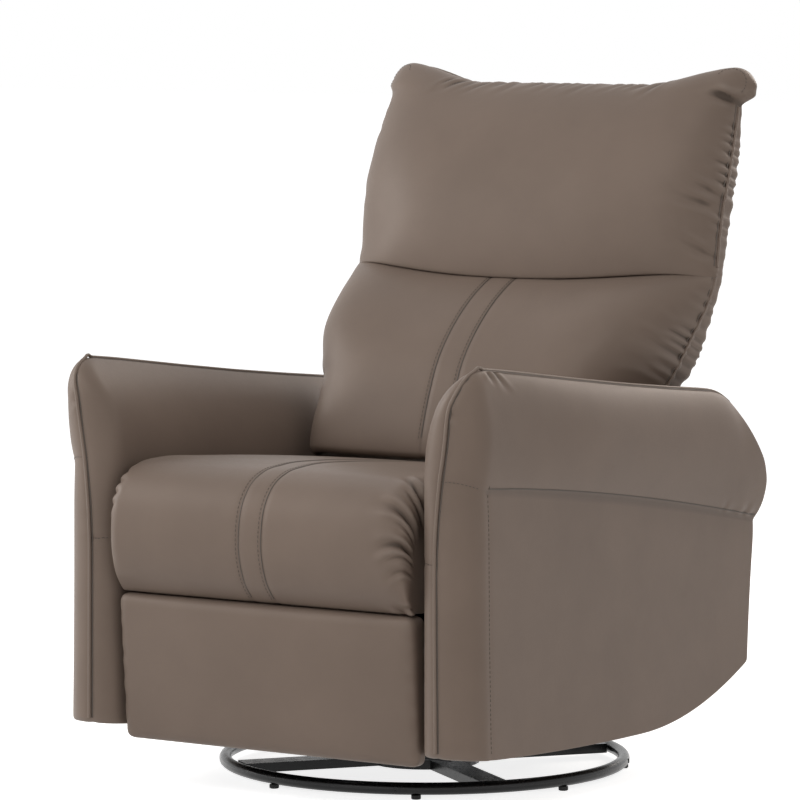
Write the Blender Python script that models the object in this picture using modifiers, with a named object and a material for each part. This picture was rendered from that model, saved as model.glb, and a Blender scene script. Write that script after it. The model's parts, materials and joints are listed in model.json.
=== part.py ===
"""A power swivel rocker recliner, modelled piece by piece at its real size, in metres.

The chair faces -Y, +Z is up, and the origin lies on the floor under the swivel's axis.
Left and right are those of the person sitting in it, so left is +X.
It is built from the floor up: ring base, swivel, rocker, chair frame with the arms,
the seat on its swing links, the footrest linkage and the back.
"""
import math

import bmesh
import bpy
from mathutils import Vector

# Fits
SEAT_GAP = 0.0003
PIN_CLEARANCE = 0.0003
RUN_CLEARANCE = 0.0005

# Ring base
RING_RADIUS = 0.295
RING_TUBE = 0.018
RING_SEGMENTS = 48
GLIDE_COUNT = 8
GLIDE_DIAMETER = 0.014
GLIDE_HEIGHT = 0.006
GLIDE_CHAMFER = 0.001
SPOKE_COUNT = 4
SPOKE_WIDTH = 0.040
SPOKE_HEIGHT = 0.014
SPOKE_TURN = math.radians(-36.0)
HUB_RADIUS = 0.082

# Swivel bearing
RACE_RADIUS = 0.075
RACE_BORE = 0.045
RACE_HEIGHT = 0.014
CAP_THICKNESS = 0.008
CAP_WALL = 0.008
CAP_SKIRT = 0.009

# Rocker
ROCK_HEIGHT = 0.100
ROCK_PIN_RADIUS = 0.008
FRAME_HALF_DEPTH = 0.180
FRAME_THICKNESS = 0.006
EAR_INNER = 0.160
EAR_THICKNESS = 0.006
EAR_WIDTH = 0.050
ROCKER_ARM_THICKNESS = 0.006
ROCKER_ARM_WIDTH = 0.036
SPRING_WIRE = 0.007
SPRING_RADIUS = 0.022
SPRING_TURNS = 4
SPRING_POINTS = 10

# Chair frame
TUBE_SIDE = 0.025
TUBE_UNDERSIDE = 0.150
TUBE_Y = 0.150
PLATE_MARGIN = 0.025
PLATE_CORNER = 0.010

# Arms
ARM_INNER = 0.263
ARM_OUTER = 0.352
ARM_FRONT = -0.394
ARM_EDGE = 0.010
ARM_BOTTOM = 0.075
ARM_BOTTOM_Y = 0.034
ARM_FRONT_RISE = 0.015
ARM_REAR_RISE = 0.072
ARM_REAR_FOOT = 0.335
ARM_REAR_SEAM = 0.362
SEAM_FRONT_Z = 0.466
SEAM_REAR_Z = 0.358
RIDGE_X = 0.333
RIDGE_FRONT_Z = 0.625
RIDGE_REAR_Z = 0.537
RIDGE_REAR_Y = 0.305
RIDGE_THICKNESS = 0.014
PAD_EDGE = 0.012
PAD_REAR = 0.367
PAD_SWELL_FRONT = 0.008
PAD_SWELL_MIDDLE = 0.023
FLARE_HEIGHT = 0.160
FLARE_POWER = 2.8
RIDGE_BEND = 1.2
PAD_REAR_BEND = 1.5
PAD_SHOULDER = 4
PAD_FULLNESS = 0.75
ARM_BOARD_THICKNESS = 0.018
ARM_BOARD_MARGIN = 0.050

# Rear panel between the arms
REAR_PANEL_INSET = 0.014
REAR_PANEL_THICKNESS = 0.020
REAR_PANEL_BOTTOM = 0.150
REAR_PANEL_TOP = 0.405
REAR_PANEL_EDGE = 0.006

# Control on the right arm
CONTROL_Y = -0.200
CONTROL_Z = 0.370
CONTROL_LENGTH = 0.090
CONTROL_HEIGHT = 0.040
CONTROL_THICKNESS = 0.008
CONTROL_CORNER = 0.008
BUTTON_SIDE = 0.022
BUTTON_PITCH = 0.036
BUTTON_PROUD = 0.003
BUTTON_THICKNESS = 0.007
BUTTON_EDGE = 0.001

# Side linkage, in flat layers counted inwards from the arms
MECHANISM_INSET = 0.0225
LINK_THICKNESS = 0.004
LINK_SPACING = 0.002
LINK_WIDTH = 0.022
PIN_RADIUS = 0.006
SWING_LENGTH = 0.090
SWING_ANGLE = math.radians(6.5)
SWING_REAR_Y = 0.060
SWING_FRONT_Y = -0.160
SEAT_PIVOT_DROP = 0.037

# Seat
DECK_Z = 0.350
FLANGE_THICKNESS = 0.003
FLANGE_WIDTH = 0.038
SEAT_PLATE_HEIGHT = 0.060
SEAT_PLATE_CORNER = 0.010
SEAT_PLATE_FRONT = -0.365
SEAT_LOBE_FRONT = -0.345
SEAT_LOBE_REAR = -0.240
SEAT_LOBE_DROP = 0.115
RAIL_WIDTH = 0.034
RAIL_HEIGHT = 0.046
RAIL_LAP = 0.012
RAIL_REAR_Y = 0.115
SEAT_SIDE_GAP = 0.005
SEAT_REAR_TOP_Y = 0.094
SEAT_REAR_TOP_Z = 0.447
SEAT_MIDDLE_Y = -0.110
SEAT_MIDDLE_Z = 0.466
SEAT_CREST_Y = -0.290
SEAT_CREST_Z = 0.478
SEAT_SHOULDER_Y = -0.411
SEAT_SHOULDER_Z = 0.460
SEAT_BULGE_Y = -0.448
SEAT_BULGE_Z = 0.380
SEAT_LIP_Y = -0.408
SEAT_LIP_GAP = 0.004
SEAT_REAR_BOTTOM_Y = 0.118
SEAT_NOSE_GAP = 0.006
SEAT_NOSE_SHARE = 0.6
SEAT_EDGE = 0.030
SEAT_SIDE_DROP = 0.10
SEAT_DRAW = 0.005
BAND_HALF = 0.019
BAND_GROOVE = 0.004
BAND_DEPTH = 0.0035

# Soft forms: where the rounded rims are cut, how full the crowns stay near their edges
RIM_SHARE = 0.3
CROWN_EDGE = 4
SIDE_EDGE = 6
CROWN_FULLNESS = 0.65
CUSHION_EDGE = 6
EAR_EDGE = 5
EAR_REACH = 3

# Drive
ACTUATOR_HALF = 0.012
ACTUATOR_TOP = 0.2125
ACTUATOR_HEIGHT = 0.0225
GEARBOX_HALF = 0.030
GEARBOX_LENGTH = 0.060
MOTOR_RADIUS = 0.027
MOTOR_LENGTH = 0.085
GLAND_RADIUS = 0.006
GLAND_LENGTH = 0.012
BLOCK_HALF = 0.024
BLOCK_LENGTH = 0.040
BLOCK_HEIGHT = 0.026
BLOCK_EDGE = 0.003
CRANK_LENGTH = 0.050
CRANK_REST = math.radians(-150.0)
CRANK_INNER = 0.030
CRANK_THICKNESS = 0.004
DRIVE_TUBE_RADIUS = 0.011

# Footrest linkage: angles rise from straight ahead, at rest and fully open
OTTOMAN_PIVOT_Y = -0.270
OTTOMAN_PIVOT_DROP = 0.095
OTTOMAN_LENGTH = 0.165
OTTOMAN_REST = math.radians(-105.0)
OTTOMAN_OPEN = math.radians(-5.0)
COUPLER_LENGTH = 0.195
COUPLER_REST = math.radians(54.7)
COUPLER_OPEN = math.radians(30.0)
CROSS_PIVOT = 0.040
FRONT_LINK_RISE = 0.100

# Footrest
FOOTREST_BACK = -0.372
FOOTREST_FRONT = -0.404
FOOTREST_BOTTOM = 0.080
FOOTREST_TOP = 0.282
FOOTREST_SIDE_GAP = 0.006
FOOTREST_CROWN = 0.010
FOOTREST_EDGE = 0.010
BRACKET_FOOT = 0.120

# Back: heights run along the lean from the pivot, depths run forward from it
BACK_PIVOT_Y = 0.145
BACK_PIVOT_DROP = 0.022
BACK_LEAN = math.radians(22.5)
BACK_FACE = 0.015
BACK_REAR = -0.035
BACK_SIDE_GAP = 0.007
BACK_BOTTOM = 0.062
BACK_WIDEN_START = 0.210
BACK_SHOULDER = 0.400
BACK_SEAM = 0.421
BACK_TOP = 0.705
EAR_RISE = 0.030
SHOULDER_HALF = 0.318
HEAD_TOP_HALF = 0.308
SHELL_EDGE = 0.012
SHELL_FLOOR = 0.020
BRACKET_LENGTH = 0.280
BACK_BOARD_BOTTOM = 0.080
BACK_BOARD_TOP = 0.620
PILLOW_EDGE = 0.030
PILLOW_ROUND = 0.014
PILLOW_GAP = 0.003
LUMBAR_CROWN = 0.136
LUMBAR_FULLEST = 0.33
LUMBAR_SEAT_GAP = 0.005
HEAD_CROWN = 0.078
HEAD_FULLEST = 0.38

# Places that follow from the sizes above
RING_Z = GLIDE_HEIGHT + RING_TUBE / 2
HUB_TOP = RING_Z + SPOKE_HEIGHT / 2
RACE_BASE = HUB_TOP + SEAT_GAP
CAP_BASE = RACE_BASE + RACE_HEIGHT + RUN_CLEARANCE
FRAME_BASE = CAP_BASE + CAP_THICKNESS + SEAT_GAP
FRAME_TOP = FRAME_BASE + FRAME_THICKNESS
DECK_UNDER = DECK_Z - FLANGE_THICKNESS - 2 * SEAT_GAP
SWING_TOP_Z = DECK_Z - SEAT_PIVOT_DROP
SWING_BASE_Z = SWING_TOP_Z - SWING_LENGTH * math.cos(SWING_ANGLE)
SWING_OFFSET = SWING_LENGTH * math.sin(SWING_ANGLE)
BACK_PIVOT = (BACK_PIVOT_Y, DECK_Z - BACK_PIVOT_DROP)
OTTOMAN_PIVOT = (OTTOMAN_PIVOT_Y, DECK_Z - OTTOMAN_PIVOT_DROP)
BACK_LOW_HALF = ARM_INNER - BACK_SIDE_GAP
LUMBAR_BOTTOM = ((SEAT_REAR_TOP_Y - BACK_PIVOT[0]) * math.sin(BACK_LEAN)
                 + (SEAT_REAR_TOP_Z - BACK_PIVOT[1]) * math.cos(BACK_LEAN) + LUMBAR_SEAT_GAP)


def ahead(point, length, angle):
    """A (y, z) place that lies a length from a point, at an angle up from straight ahead."""
    return (point[0] - length * math.cos(angle), point[1] + length * math.sin(angle))


def footrest_pivots(ottoman, coupler):
    """The coupler's heel, cross pivot and tip when the two links stand at these angles."""
    heel = ahead(OTTOMAN_PIVOT, OTTOMAN_LENGTH, ottoman)
    return heel, ahead(heel, CROSS_PIVOT, coupler), ahead(heel, COUPLER_LENGTH, coupler)


def front_link_pivot():
    """The seat pivot from which the front link reaches the cross pivot at both ends of its travel."""
    rest = Vector(footrest_pivots(OTTOMAN_REST, COUPLER_REST)[1])
    opened = Vector(footrest_pivots(OTTOMAN_OPEN, COUPLER_OPEN)[1])
    travel = opened - rest
    upward = Vector((travel.y, -travel.x)).normalized()
    return tuple((rest + opened) / 2 + upward * FRONT_LINK_RISE)


HEEL_PIVOT, CROSS_POINT, TIP_PIVOT = footrest_pivots(OTTOMAN_REST, COUPLER_REST)
FRONT_PIVOT = front_link_pivot()


def layer(index):
    """Inner and outer x of one flat layer of the side linkage."""
    outer = ARM_INNER - MECHANISM_INSET - index * (LINK_THICKNESS + LINK_SPACING)
    return outer - LINK_THICKNESS, outer


FIXED_LAYER, SWING_LAYER, SEAT_LAYER, OTTOMAN_LAYER, COUPLER_LAYER, INNER_LAYER = map(layer, range(6))
BACK_LAYER = SWING_LAYER


def start_scene():
    """Empty the scene and make the collections for the parts and for the cutting tools."""
    for old in list(bpy.data.objects):
        bpy.data.objects.remove(old, do_unlink=True)
    collections = []
    for name in ("power_swivel_rocker_recliner", "cutting_tools"):
        collection = bpy.data.collections.new(name)
        bpy.context.scene.collection.children.link(collection)
        collections.append(collection)
    return collections


PARTS, TOOLS = start_scene()


def material(name, colour, roughness, metallic=0.0):
    """A plain finish with one colour."""
    finish = bpy.data.materials.new(name)
    finish.use_nodes = True
    shader = finish.node_tree.nodes["Principled BSDF"]
    shader.inputs["Base Color"].default_value = (*colour, 1.0)
    shader.inputs["Roughness"].default_value = roughness
    shader.inputs["Metallic"].default_value = metallic
    return finish


LEATHER = material("taupe_coated_fabric", (0.178, 0.141, 0.117), 0.45)
GLOSS_BLACK = material("gloss_black_steel", (0.010, 0.010, 0.011), 0.20, 0.6)
DARK_STEEL = material("dark_painted_steel", (0.030, 0.030, 0.032), 0.45, 0.7)
BRIGHT_STEEL = material("zinc_plated_steel", (0.55, 0.56, 0.57), 0.35, 1.0)
TIMBER = material("frame_timber", (0.52, 0.36, 0.21), 0.65)
BLACK_PLASTIC = material("black_plastic", (0.014, 0.014, 0.015), 0.40)
RUBBER = material("black_rubber", (0.012, 0.012, 0.012), 0.80)
WEBBING = material("elastic_webbing", (0.06, 0.06, 0.065), 0.85)


def place_in(obj, collection):
    """Keep an object in one collection only."""
    for holder in list(obj.users_collection):
        holder.objects.unlink(obj)
    collection.objects.link(obj)


def part(obj, name, finish, axis, smooth_angle=40.0):
    """Name a finished piece, give it its material and hang it, with its tools, on its joint's empty."""
    obj.name = name
    obj.data.name = name
    obj.data.materials.clear()
    obj.data.materials.append(finish)
    place_in(obj, PARTS)
    if smooth_angle:
        obj.data.shade_smooth()
        obj.data.set_sharp_from_angle(angle=math.radians(smooth_angle))
    carried = [obj] + [step.object for step in obj.modifiers if step.type == "BOOLEAN"]
    for item in carried:
        item.parent = axis
        item.matrix_parent_inverse = axis.matrix_world.inverted()
    return obj


def joint_axis(name, place, parent=None):
    """An empty on a joint's axis, which carries the pieces that move with that joint."""
    empty = bpy.data.objects.new(name, None)
    empty.empty_display_size = 0.05
    PARTS.objects.link(empty)
    empty.location = place
    if parent:
        bpy.context.view_layer.update()
        empty.parent = parent
        empty.matrix_parent_inverse = parent.matrix_world.inverted()
    bpy.context.view_layer.update()
    return empty


def mesh_object(name, bm):
    """Turn a finished closed bmesh into an object, with its faces outwards."""
    if bm.calc_volume(signed=True) < 0.0:
        bmesh.ops.reverse_faces(bm, faces=bm.faces)
    mesh = bpy.data.meshes.new(name)
    bm.to_mesh(mesh)
    bm.free()
    obj = bpy.data.objects.new(name, mesh)
    PARTS.objects.link(obj)
    return obj


def box(low, high):
    """A box between two corners."""
    size = [b - a for a, b in zip(low, high)]
    middle = [(a + b) / 2 for a, b in zip(low, high)]
    bpy.ops.mesh.primitive_cube_add(size=1.0, location=middle)
    obj = bpy.context.object
    obj.scale = size
    bpy.ops.object.transform_apply(location=False, rotation=False, scale=True)
    return obj


def rod_x(x0, x1, centre, radius, sides=12):
    """A round rod along X about a (y, z) centre."""
    bpy.ops.mesh.primitive_cylinder_add(
        vertices=sides, radius=radius, depth=abs(x1 - x0),
        location=((x0 + x1) / 2, *centre), rotation=(0.0, math.pi / 2, 0.0))
    return bpy.context.object


def turned(profile, place, segments):
    """Turn a profile of (radius, height) points, listed down its outer side, about a vertical axis."""
    closed = profile[0][0] > 0.0
    mesh = bpy.data.meshes.new("profile")
    count = len(profile)
    edges = [(i, (i + 1) % count) for i in range(count if closed else count - 1)]
    mesh.from_pydata([(r, 0.0, h) for r, h in profile], edges, [])
    obj = bpy.data.objects.new("profile", mesh)
    PARTS.objects.link(obj)
    obj.location = place
    screw = obj.modifiers.new("turn", "SCREW")
    screw.steps = segments
    screw.render_steps = segments
    screw.use_merge_vertices = True
    screw.merge_threshold = 0.00005
    return obj


def as_mesh(curve_object):
    """Replace a curve by the mesh it makes, with its caps welded on."""
    bpy.context.view_layer.update()
    evaluated = curve_object.evaluated_get(bpy.context.evaluated_depsgraph_get())
    mesh = bpy.data.meshes.new_from_object(evaluated)
    bm = bmesh.new()
    bm.from_mesh(mesh)
    bmesh.ops.remove_doubles(bm, verts=bm.verts, dist=0.00001)
    bmesh.ops.recalc_face_normals(bm, faces=bm.faces)
    bm.to_mesh(mesh)
    bm.free()
    obj = bpy.data.objects.new(curve_object.name, mesh)
    PARTS.objects.link(obj)
    obj.matrix_world = curve_object.matrix_world
    bpy.data.objects.remove(curve_object, do_unlink=True)
    return obj


def plate(x_range, outline, holes=(), side=1):
    """A flat plate across X from a (y, z) outline, with any holes, on the left or the right side."""
    curve = bpy.data.curves.new("plate", "CURVE")
    curve.dimensions = "2D"
    curve.fill_mode = "BOTH"
    curve.extrude = (x_range[1] - x_range[0]) / 2
    for points in (outline, *holes):
        spline = curve.splines.new("POLY")
        spline.points.add(len(points) - 1)
        spline.use_cyclic_u = True
        for point, (y, z) in zip(spline.points, points):
            point.co = (y, z, 0.0, 1.0)
    obj = bpy.data.objects.new("plate", curve)
    PARTS.objects.link(obj)
    obj.location = (side * (x_range[0] + x_range[1]) / 2, 0.0, 0.0)
    obj.rotation_euler = (math.pi / 2, 0.0, math.pi / 2)
    return as_mesh(obj)


def arc(centre, radius, start, end, steps):
    """Points on an arc in the (y, z) plane."""
    angles = [start + (end - start) * i / steps for i in range(steps + 1)]
    return [(centre[0] + radius * math.cos(a), centre[1] + radius * math.sin(a)) for a in angles]


def circle(centre, radius, steps=12):
    """A round hole's outline."""
    return arc(centre, radius, 0.0, 2 * math.pi, steps)[:-1]


def bar_outline(start, end, width, steps=6):
    """A round-ended bar between two pivots."""
    turn = math.atan2(end[1] - start[1], end[0] - start[0])
    quarter = math.pi / 2
    tip = arc(end, width / 2, turn - quarter, turn + quarter, steps)
    return tip + arc(start, width / 2, turn + quarter, turn + 3 * quarter, steps)


def rectangle(y0, y1, z0, z1):
    """The corners of a rectangle."""
    return [(y1, z1), (y0, z1), (y0, z0), (y1, z0)]


def rounded_outline(corners, radius, steps=4):
    """A run of (y, z) corners, each of them rounded off."""
    points = []
    for i, corner in enumerate(corners):
        here = Vector(corner)
        before, after = Vector(corners[i - 1]), Vector(corners[(i + 1) % len(corners)])
        start = here + (before - here).normalized() * radius
        end = here + (after - here).normalized() * radius
        for k in range(steps + 1):
            t = k / steps
            points.append(tuple(start.lerp(here, t).lerp(here.lerp(end, t), t)))
    return points


def square_hole(centre, side):
    """A square hole's outline."""
    y, z = centre
    half = side / 2
    return rectangle(y - half, y + half, z - half, z + half)


def combine(obj, tool, operation):
    """Join a tool to an object, or cut it out of it, and put the tool away."""
    step = obj.modifiers.new(operation.lower(), "BOOLEAN")
    step.operation = operation
    step.object = tool
    place_in(tool, TOOLS)
    tool.display_type = "WIRE"
    tool.hide_render = True
    return obj


def add_pin(obj, x_from, x_to, centre, side, radius=PIN_RADIUS):
    """Join a pivot pin to a plate."""
    return combine(obj, rod_x(side * x_from, side * x_to, centre, radius), "UNION")


def soften(obj, width, segments=2):
    """Round an object's sharp edges."""
    bevel = obj.modifiers.new("edges", "BEVEL")
    bevel.width = width
    bevel.segments = segments
    bevel.limit_method = "ANGLE"
    bevel.angle_limit = math.radians(50.0)
    return obj


def block_lines(half, rounding, inner):
    """Where the cuts lie across a padded block: closer together in its rounded edges."""
    flat = half - rounding
    middle = [flat * (2 * i / (inner + 1) - 1) for i in range(inner + 2)]
    rim = half - RIM_SHARE * rounding
    return [-half, -rim, *middle, rim, half]


def padded_block(half, rounding, inner, form, across=(), along=()):
    """A block with rounded edges, and any further cuts, that a form function turns into a soft shape."""
    lines = [block_lines(h, rounding, count) for h, count in zip(half, inner)]
    lines[0] = sorted([*lines[0], *across])
    lines[1] = sorted([*lines[1], *along])
    bm = bmesh.new()
    bmesh.ops.create_cube(bm, size=2.0)
    for axis in range(3):
        whole = [e for e in bm.edges if abs(e.verts[0].co[axis] - e.verts[1].co[axis]) > 1.5]
        bmesh.ops.subdivide_edges(bm, edges=whole, cuts=len(lines[axis]) - 2, use_grid_fill=True)
    for vert in bm.verts:
        steps = [round((vert.co[a] + 1) / 2 * (len(lines[a]) - 1)) for a in range(3)]
        place = Vector([lines[a][steps[a]] for a in range(3)])
        core = Vector([max(-h + rounding, min(h - rounding, p)) for h, p in zip(half, place)])
        rounded = core + (place - core).normalized() * rounding
        vert.co = form(*[max(-1.0, min(1.0, p / h)) for p, h in zip(rounded, half)])
    return mesh_object("padded_block", bm)


def blend(a, b, t):
    """A value part of the way from a to b."""
    return a + (b - a) * t


def hump(t):
    """Rise from 0 to 1 in the middle and fall to 0 again."""
    return max(0.0, math.sin(math.pi * t))


def through(points, t):
    """A point part of the way along a smooth curve through (y, z) points."""
    last = len(points) - 1
    step = min(int(t * last), last - 1)
    f = t * last - step
    a, b, c, d = (Vector(points[max(0, min(last, step + k))]) for k in (-1, 0, 1, 2))
    return 0.5 * (2 * b + (c - a) * f + (2 * a - 5 * b + 4 * c - d) * f ** 2
                  + (3 * b - a - 3 * c + d) * f ** 3)


def along_line(points, t):
    """A point part of the way along straight runs between (y, z) points."""
    last = len(points) - 1
    step = min(int(t * last), last - 1)
    return Vector(points[step]).lerp(Vector(points[step + 1]), t * last - step)


def band_dip(x):
    """How deep the two sewn lines of the centre band press into a cushion at x."""
    distance = abs(abs(x) - BAND_HALF)
    return BAND_DEPTH * max(0.0, 1.0 - distance / BAND_GROOVE)


def band_lines():
    """Cuts across a cushion for the two sewn lines of the centre band."""
    places = [BAND_HALF - BAND_GROOVE, BAND_HALF, BAND_HALF + BAND_GROOVE]
    return [-p for p in places] + places


def make_base(floor):
    """The black ring that stands on the floor, its cross, its glides and the lower bearing race."""
    bpy.ops.mesh.primitive_torus_add(
        major_radius=RING_RADIUS, minor_radius=RING_TUBE / 2, major_segments=RING_SEGMENTS,
        minor_segments=8, location=(0.0, 0.0, RING_Z))
    part(bpy.context.object, "base_ring", GLOSS_BLACK, floor, 60.0)

    bpy.ops.mesh.primitive_cylinder_add(
        vertices=32, radius=HUB_RADIUS, depth=SPOKE_HEIGHT, location=(0.0, 0.0, RING_Z))
    cross = bpy.context.object
    reach = (RING_RADIUS - RING_TUBE / 2) * math.cos(math.pi / RING_SEGMENTS) - SEAT_GAP
    half = SPOKE_HEIGHT / 2
    for i in range(SPOKE_COUNT // 2):
        bars = box((-RING_RADIUS, -SPOKE_WIDTH / 2, -half), (RING_RADIUS, SPOKE_WIDTH / 2, half))
        bars.location.z = RING_Z
        bars.rotation_euler.z = SPOKE_TURN + i * math.pi / 2
        combine(cross, bars, "UNION")
    bpy.ops.mesh.primitive_cylinder_add(
        vertices=RING_SEGMENTS, radius=reach, depth=RING_TUBE * 2, location=(0.0, 0.0, RING_Z))
    combine(cross, bpy.context.object, "INTERSECT")
    part(cross, "base_cross", GLOSS_BLACK, floor)

    radius = GLIDE_DIAMETER / 2
    top = GLIDE_HEIGHT - SEAT_GAP
    profile = [(0.0, top), (radius, top), (radius, GLIDE_CHAMFER),
               (radius - GLIDE_CHAMFER, 0.0), (0.0, 0.0)]
    step = 2 * math.pi / GLIDE_COUNT
    for i in range(GLIDE_COUNT):
        angle = SPOKE_TURN + (i + 0.5) * step
        place = (RING_RADIUS * math.cos(angle), RING_RADIUS * math.sin(angle), 0.0)
        part(turned(profile, place, 10), f"base_glide_{i + 1}", RUBBER, floor)

    profile = [(RACE_RADIUS, RACE_HEIGHT), (RACE_RADIUS, 0.0), (RACE_BORE, 0.0), (RACE_BORE, RACE_HEIGHT)]
    part(turned(profile, (0.0, 0.0, RACE_BASE), 24), "swivel_lower_race", BRIGHT_STEEL, floor)


def make_turntable(swivel):
    """The upper race and the frame whose two ears carry the pins on which the chair rocks."""
    skirt_in = RACE_RADIUS + RUN_CLEARANCE
    skirt_out = skirt_in + CAP_WALL
    profile = [(skirt_out, CAP_THICKNESS), (skirt_out, -CAP_SKIRT), (skirt_in, -CAP_SKIRT),
               (skirt_in, 0.0), (RACE_BORE, 0.0), (RACE_BORE, CAP_THICKNESS)]
    part(turned(profile, (0.0, 0.0, CAP_BASE), 24), "swivel_upper_race", BRIGHT_STEEL, swivel)

    ear_outer = EAR_INNER + EAR_THICKNESS
    frame = box((-ear_outer, -FRAME_HALF_DEPTH, FRAME_BASE), (ear_outer, FRAME_HALF_DEPTH, FRAME_TOP))
    centre = (0.0, ROCK_HEIGHT)
    round_top = arc(centre, EAR_WIDTH / 2, 0.0, math.pi, 8)
    foot = FRAME_BASE + FRAME_THICKNESS / 2
    outline = [(EAR_WIDTH / 2, foot), *round_top, (-EAR_WIDTH / 2, foot)]
    pin_end = ear_outer + ROCKER_ARM_THICKNESS + 4 * RUN_CLEARANCE
    for side in (1, -1):
        combine(frame, plate((EAR_INNER, ear_outer), outline, (), side), "UNION")
        add_pin(frame, EAR_INNER + EAR_THICKNESS / 2, pin_end, centre, side, ROCK_PIN_RADIUS)
    part(frame, "rocker_base_frame", DARK_STEEL, swivel)


def spring_path(y):
    """Points up a rocker spring, with its ends laid flat on the frame and under the cross tube."""
    low = FRAME_TOP + SEAT_GAP + SPRING_WIRE / 2
    high = TUBE_UNDERSIDE - SEAT_GAP - SPRING_WIRE / 2
    count = SPRING_TURNS * SPRING_POINTS
    points = []
    for i in range(count + 1):
        angle = 2 * math.pi * i / SPRING_POINTS
        points.append((SPRING_RADIUS * math.cos(angle), y + SPRING_RADIUS * math.sin(angle),
                       blend(low, high, i / count)))
    return points


def make_springs(rock):
    """The two coil springs that bring the rocking chair back level."""
    rise = TUBE_UNDERSIDE - FRAME_TOP - 2 * SEAT_GAP - SPRING_WIRE
    print(f"least gap between spring turns: {rise / SPRING_TURNS - SPRING_WIRE:.4f} m")
    for name, y in (("rocker_spring_front", -TUBE_Y), ("rocker_spring_rear", TUBE_Y)):
        curve = bpy.data.curves.new(name, "CURVE")
        curve.dimensions = "3D"
        curve.bevel_depth = SPRING_WIRE / 2
        curve.bevel_resolution = 1
        curve.use_fill_caps = True
        spline = curve.splines.new("POLY")
        points = spring_path(y)
        spline.points.add(len(points) - 1)
        for point, place in zip(spline.points, points):
            point.co = (*place, 1.0)
        obj = bpy.data.objects.new(name, curve)
        PARTS.objects.link(obj)
        part(as_mesh(obj), name, BRIGHT_STEEL, rock)


def make_chair_frame(rock):
    """The rocker arms on their pins, the two cross tubes and the fixed plates of the linkage."""
    inner = EAR_INNER + EAR_THICKNESS + RUN_CLEARANCE
    bore = circle((0.0, ROCK_HEIGHT), ROCK_PIN_RADIUS + PIN_CLEARANCE)
    top = TUBE_UNDERSIDE - SEAT_GAP
    half = TUBE_Y + TUBE_SIDE / 2
    depth = ROCKER_ARM_WIDTH / 2
    hub = arc((0.0, ROCK_HEIGHT), depth, math.pi, 2 * math.pi, 8)
    outline = [(half, top), (-half, top), (-half, top - depth), *hub, (half, top - depth)]
    for side, hand in ((1, "left"), (-1, "right")):
        arm = plate((inner, inner + ROCKER_ARM_THICKNESS), outline, [bore], side)
        part(arm, f"rocker_arm_{hand}", DARK_STEEL, rock)

    reach = ARM_INNER - SEAT_GAP
    tube_z = TUBE_UNDERSIDE + TUBE_SIDE / 2
    for name, y in (("front_cross_tube", -TUBE_Y), ("rear_cross_tube", TUBE_Y)):
        low = (-reach, y - TUBE_SIDE / 2, TUBE_UNDERSIDE)
        high = (reach, y + TUBE_SIDE / 2, TUBE_UNDERSIDE + TUBE_SIDE)
        part(box(low, high), name, DARK_STEEL, rock, None)

    edge = max(TUBE_Y + TUBE_SIDE / 2, abs(SWING_FRONT_Y), abs(SWING_REAR_Y)) + PLATE_MARGIN
    low, high = TUBE_UNDERSIDE - PLATE_MARGIN / 2, SWING_BASE_Z + LINK_WIDTH / 2
    outline = rounded_outline(rectangle(-edge, edge, low, high), PLATE_CORNER)
    hole = TUBE_SIDE + 2 * SEAT_GAP
    holes = [square_hole((y, tube_z), hole) for y in (-TUBE_Y, TUBE_Y)]
    pin_end = SWING_LAYER[0] - RUN_CLEARANCE
    for side, hand in ((1, "left"), (-1, "right")):
        fixed = plate(FIXED_LAYER, outline, holes, side)
        for y in (SWING_FRONT_Y, SWING_REAR_Y):
            add_pin(fixed, sum(FIXED_LAYER) / 2, pin_end, (y, SWING_BASE_Z), side)
        part(fixed, f"mechanism_base_{hand}", DARK_STEEL, rock)


def arm_bottom(y):
    """Height of an arm's lower edge, which sweeps up towards the rear."""
    if y > ARM_BOTTOM_Y:
        return ARM_BOTTOM + ARM_REAR_RISE * ((y - ARM_BOTTOM_Y) / (ARM_REAR_FOOT - ARM_BOTTOM_Y)) ** 2
    return ARM_BOTTOM + ARM_FRONT_RISE * ((y - ARM_BOTTOM_Y) / (ARM_FRONT - ARM_BOTTOM_Y)) ** 2


def arm_seam(y):
    """Height of the seam under an arm's pad."""
    return blend(SEAM_FRONT_Z, SEAM_REAR_Z, (y - ARM_FRONT) / (ARM_REAR_SEAM - ARM_FRONT))


def arm_ridge(y):
    """Height of the welted ridge along the top of an arm."""
    t = max(0.0, min(1.0, (y - ARM_FRONT) / (RIDGE_REAR_Y - ARM_FRONT)))
    return blend(RIDGE_FRONT_Z, RIDGE_REAR_Z, t ** RIDGE_BEND)


def arm_body_form(side):
    """Form of the upright lower part of an arm."""
    def form(u, v, w):
        across, up = (u + 1) / 2, (w + 1) / 2
        rear = blend(ARM_REAR_FOOT, ARM_REAR_SEAM, up)
        y = blend(ARM_FRONT, rear, (v + 1) / 2)
        z = blend(arm_bottom(y), arm_seam(y) - SEAT_GAP, up)
        return Vector((side * blend(ARM_INNER, ARM_OUTER, across), y, z))
    return form


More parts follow.
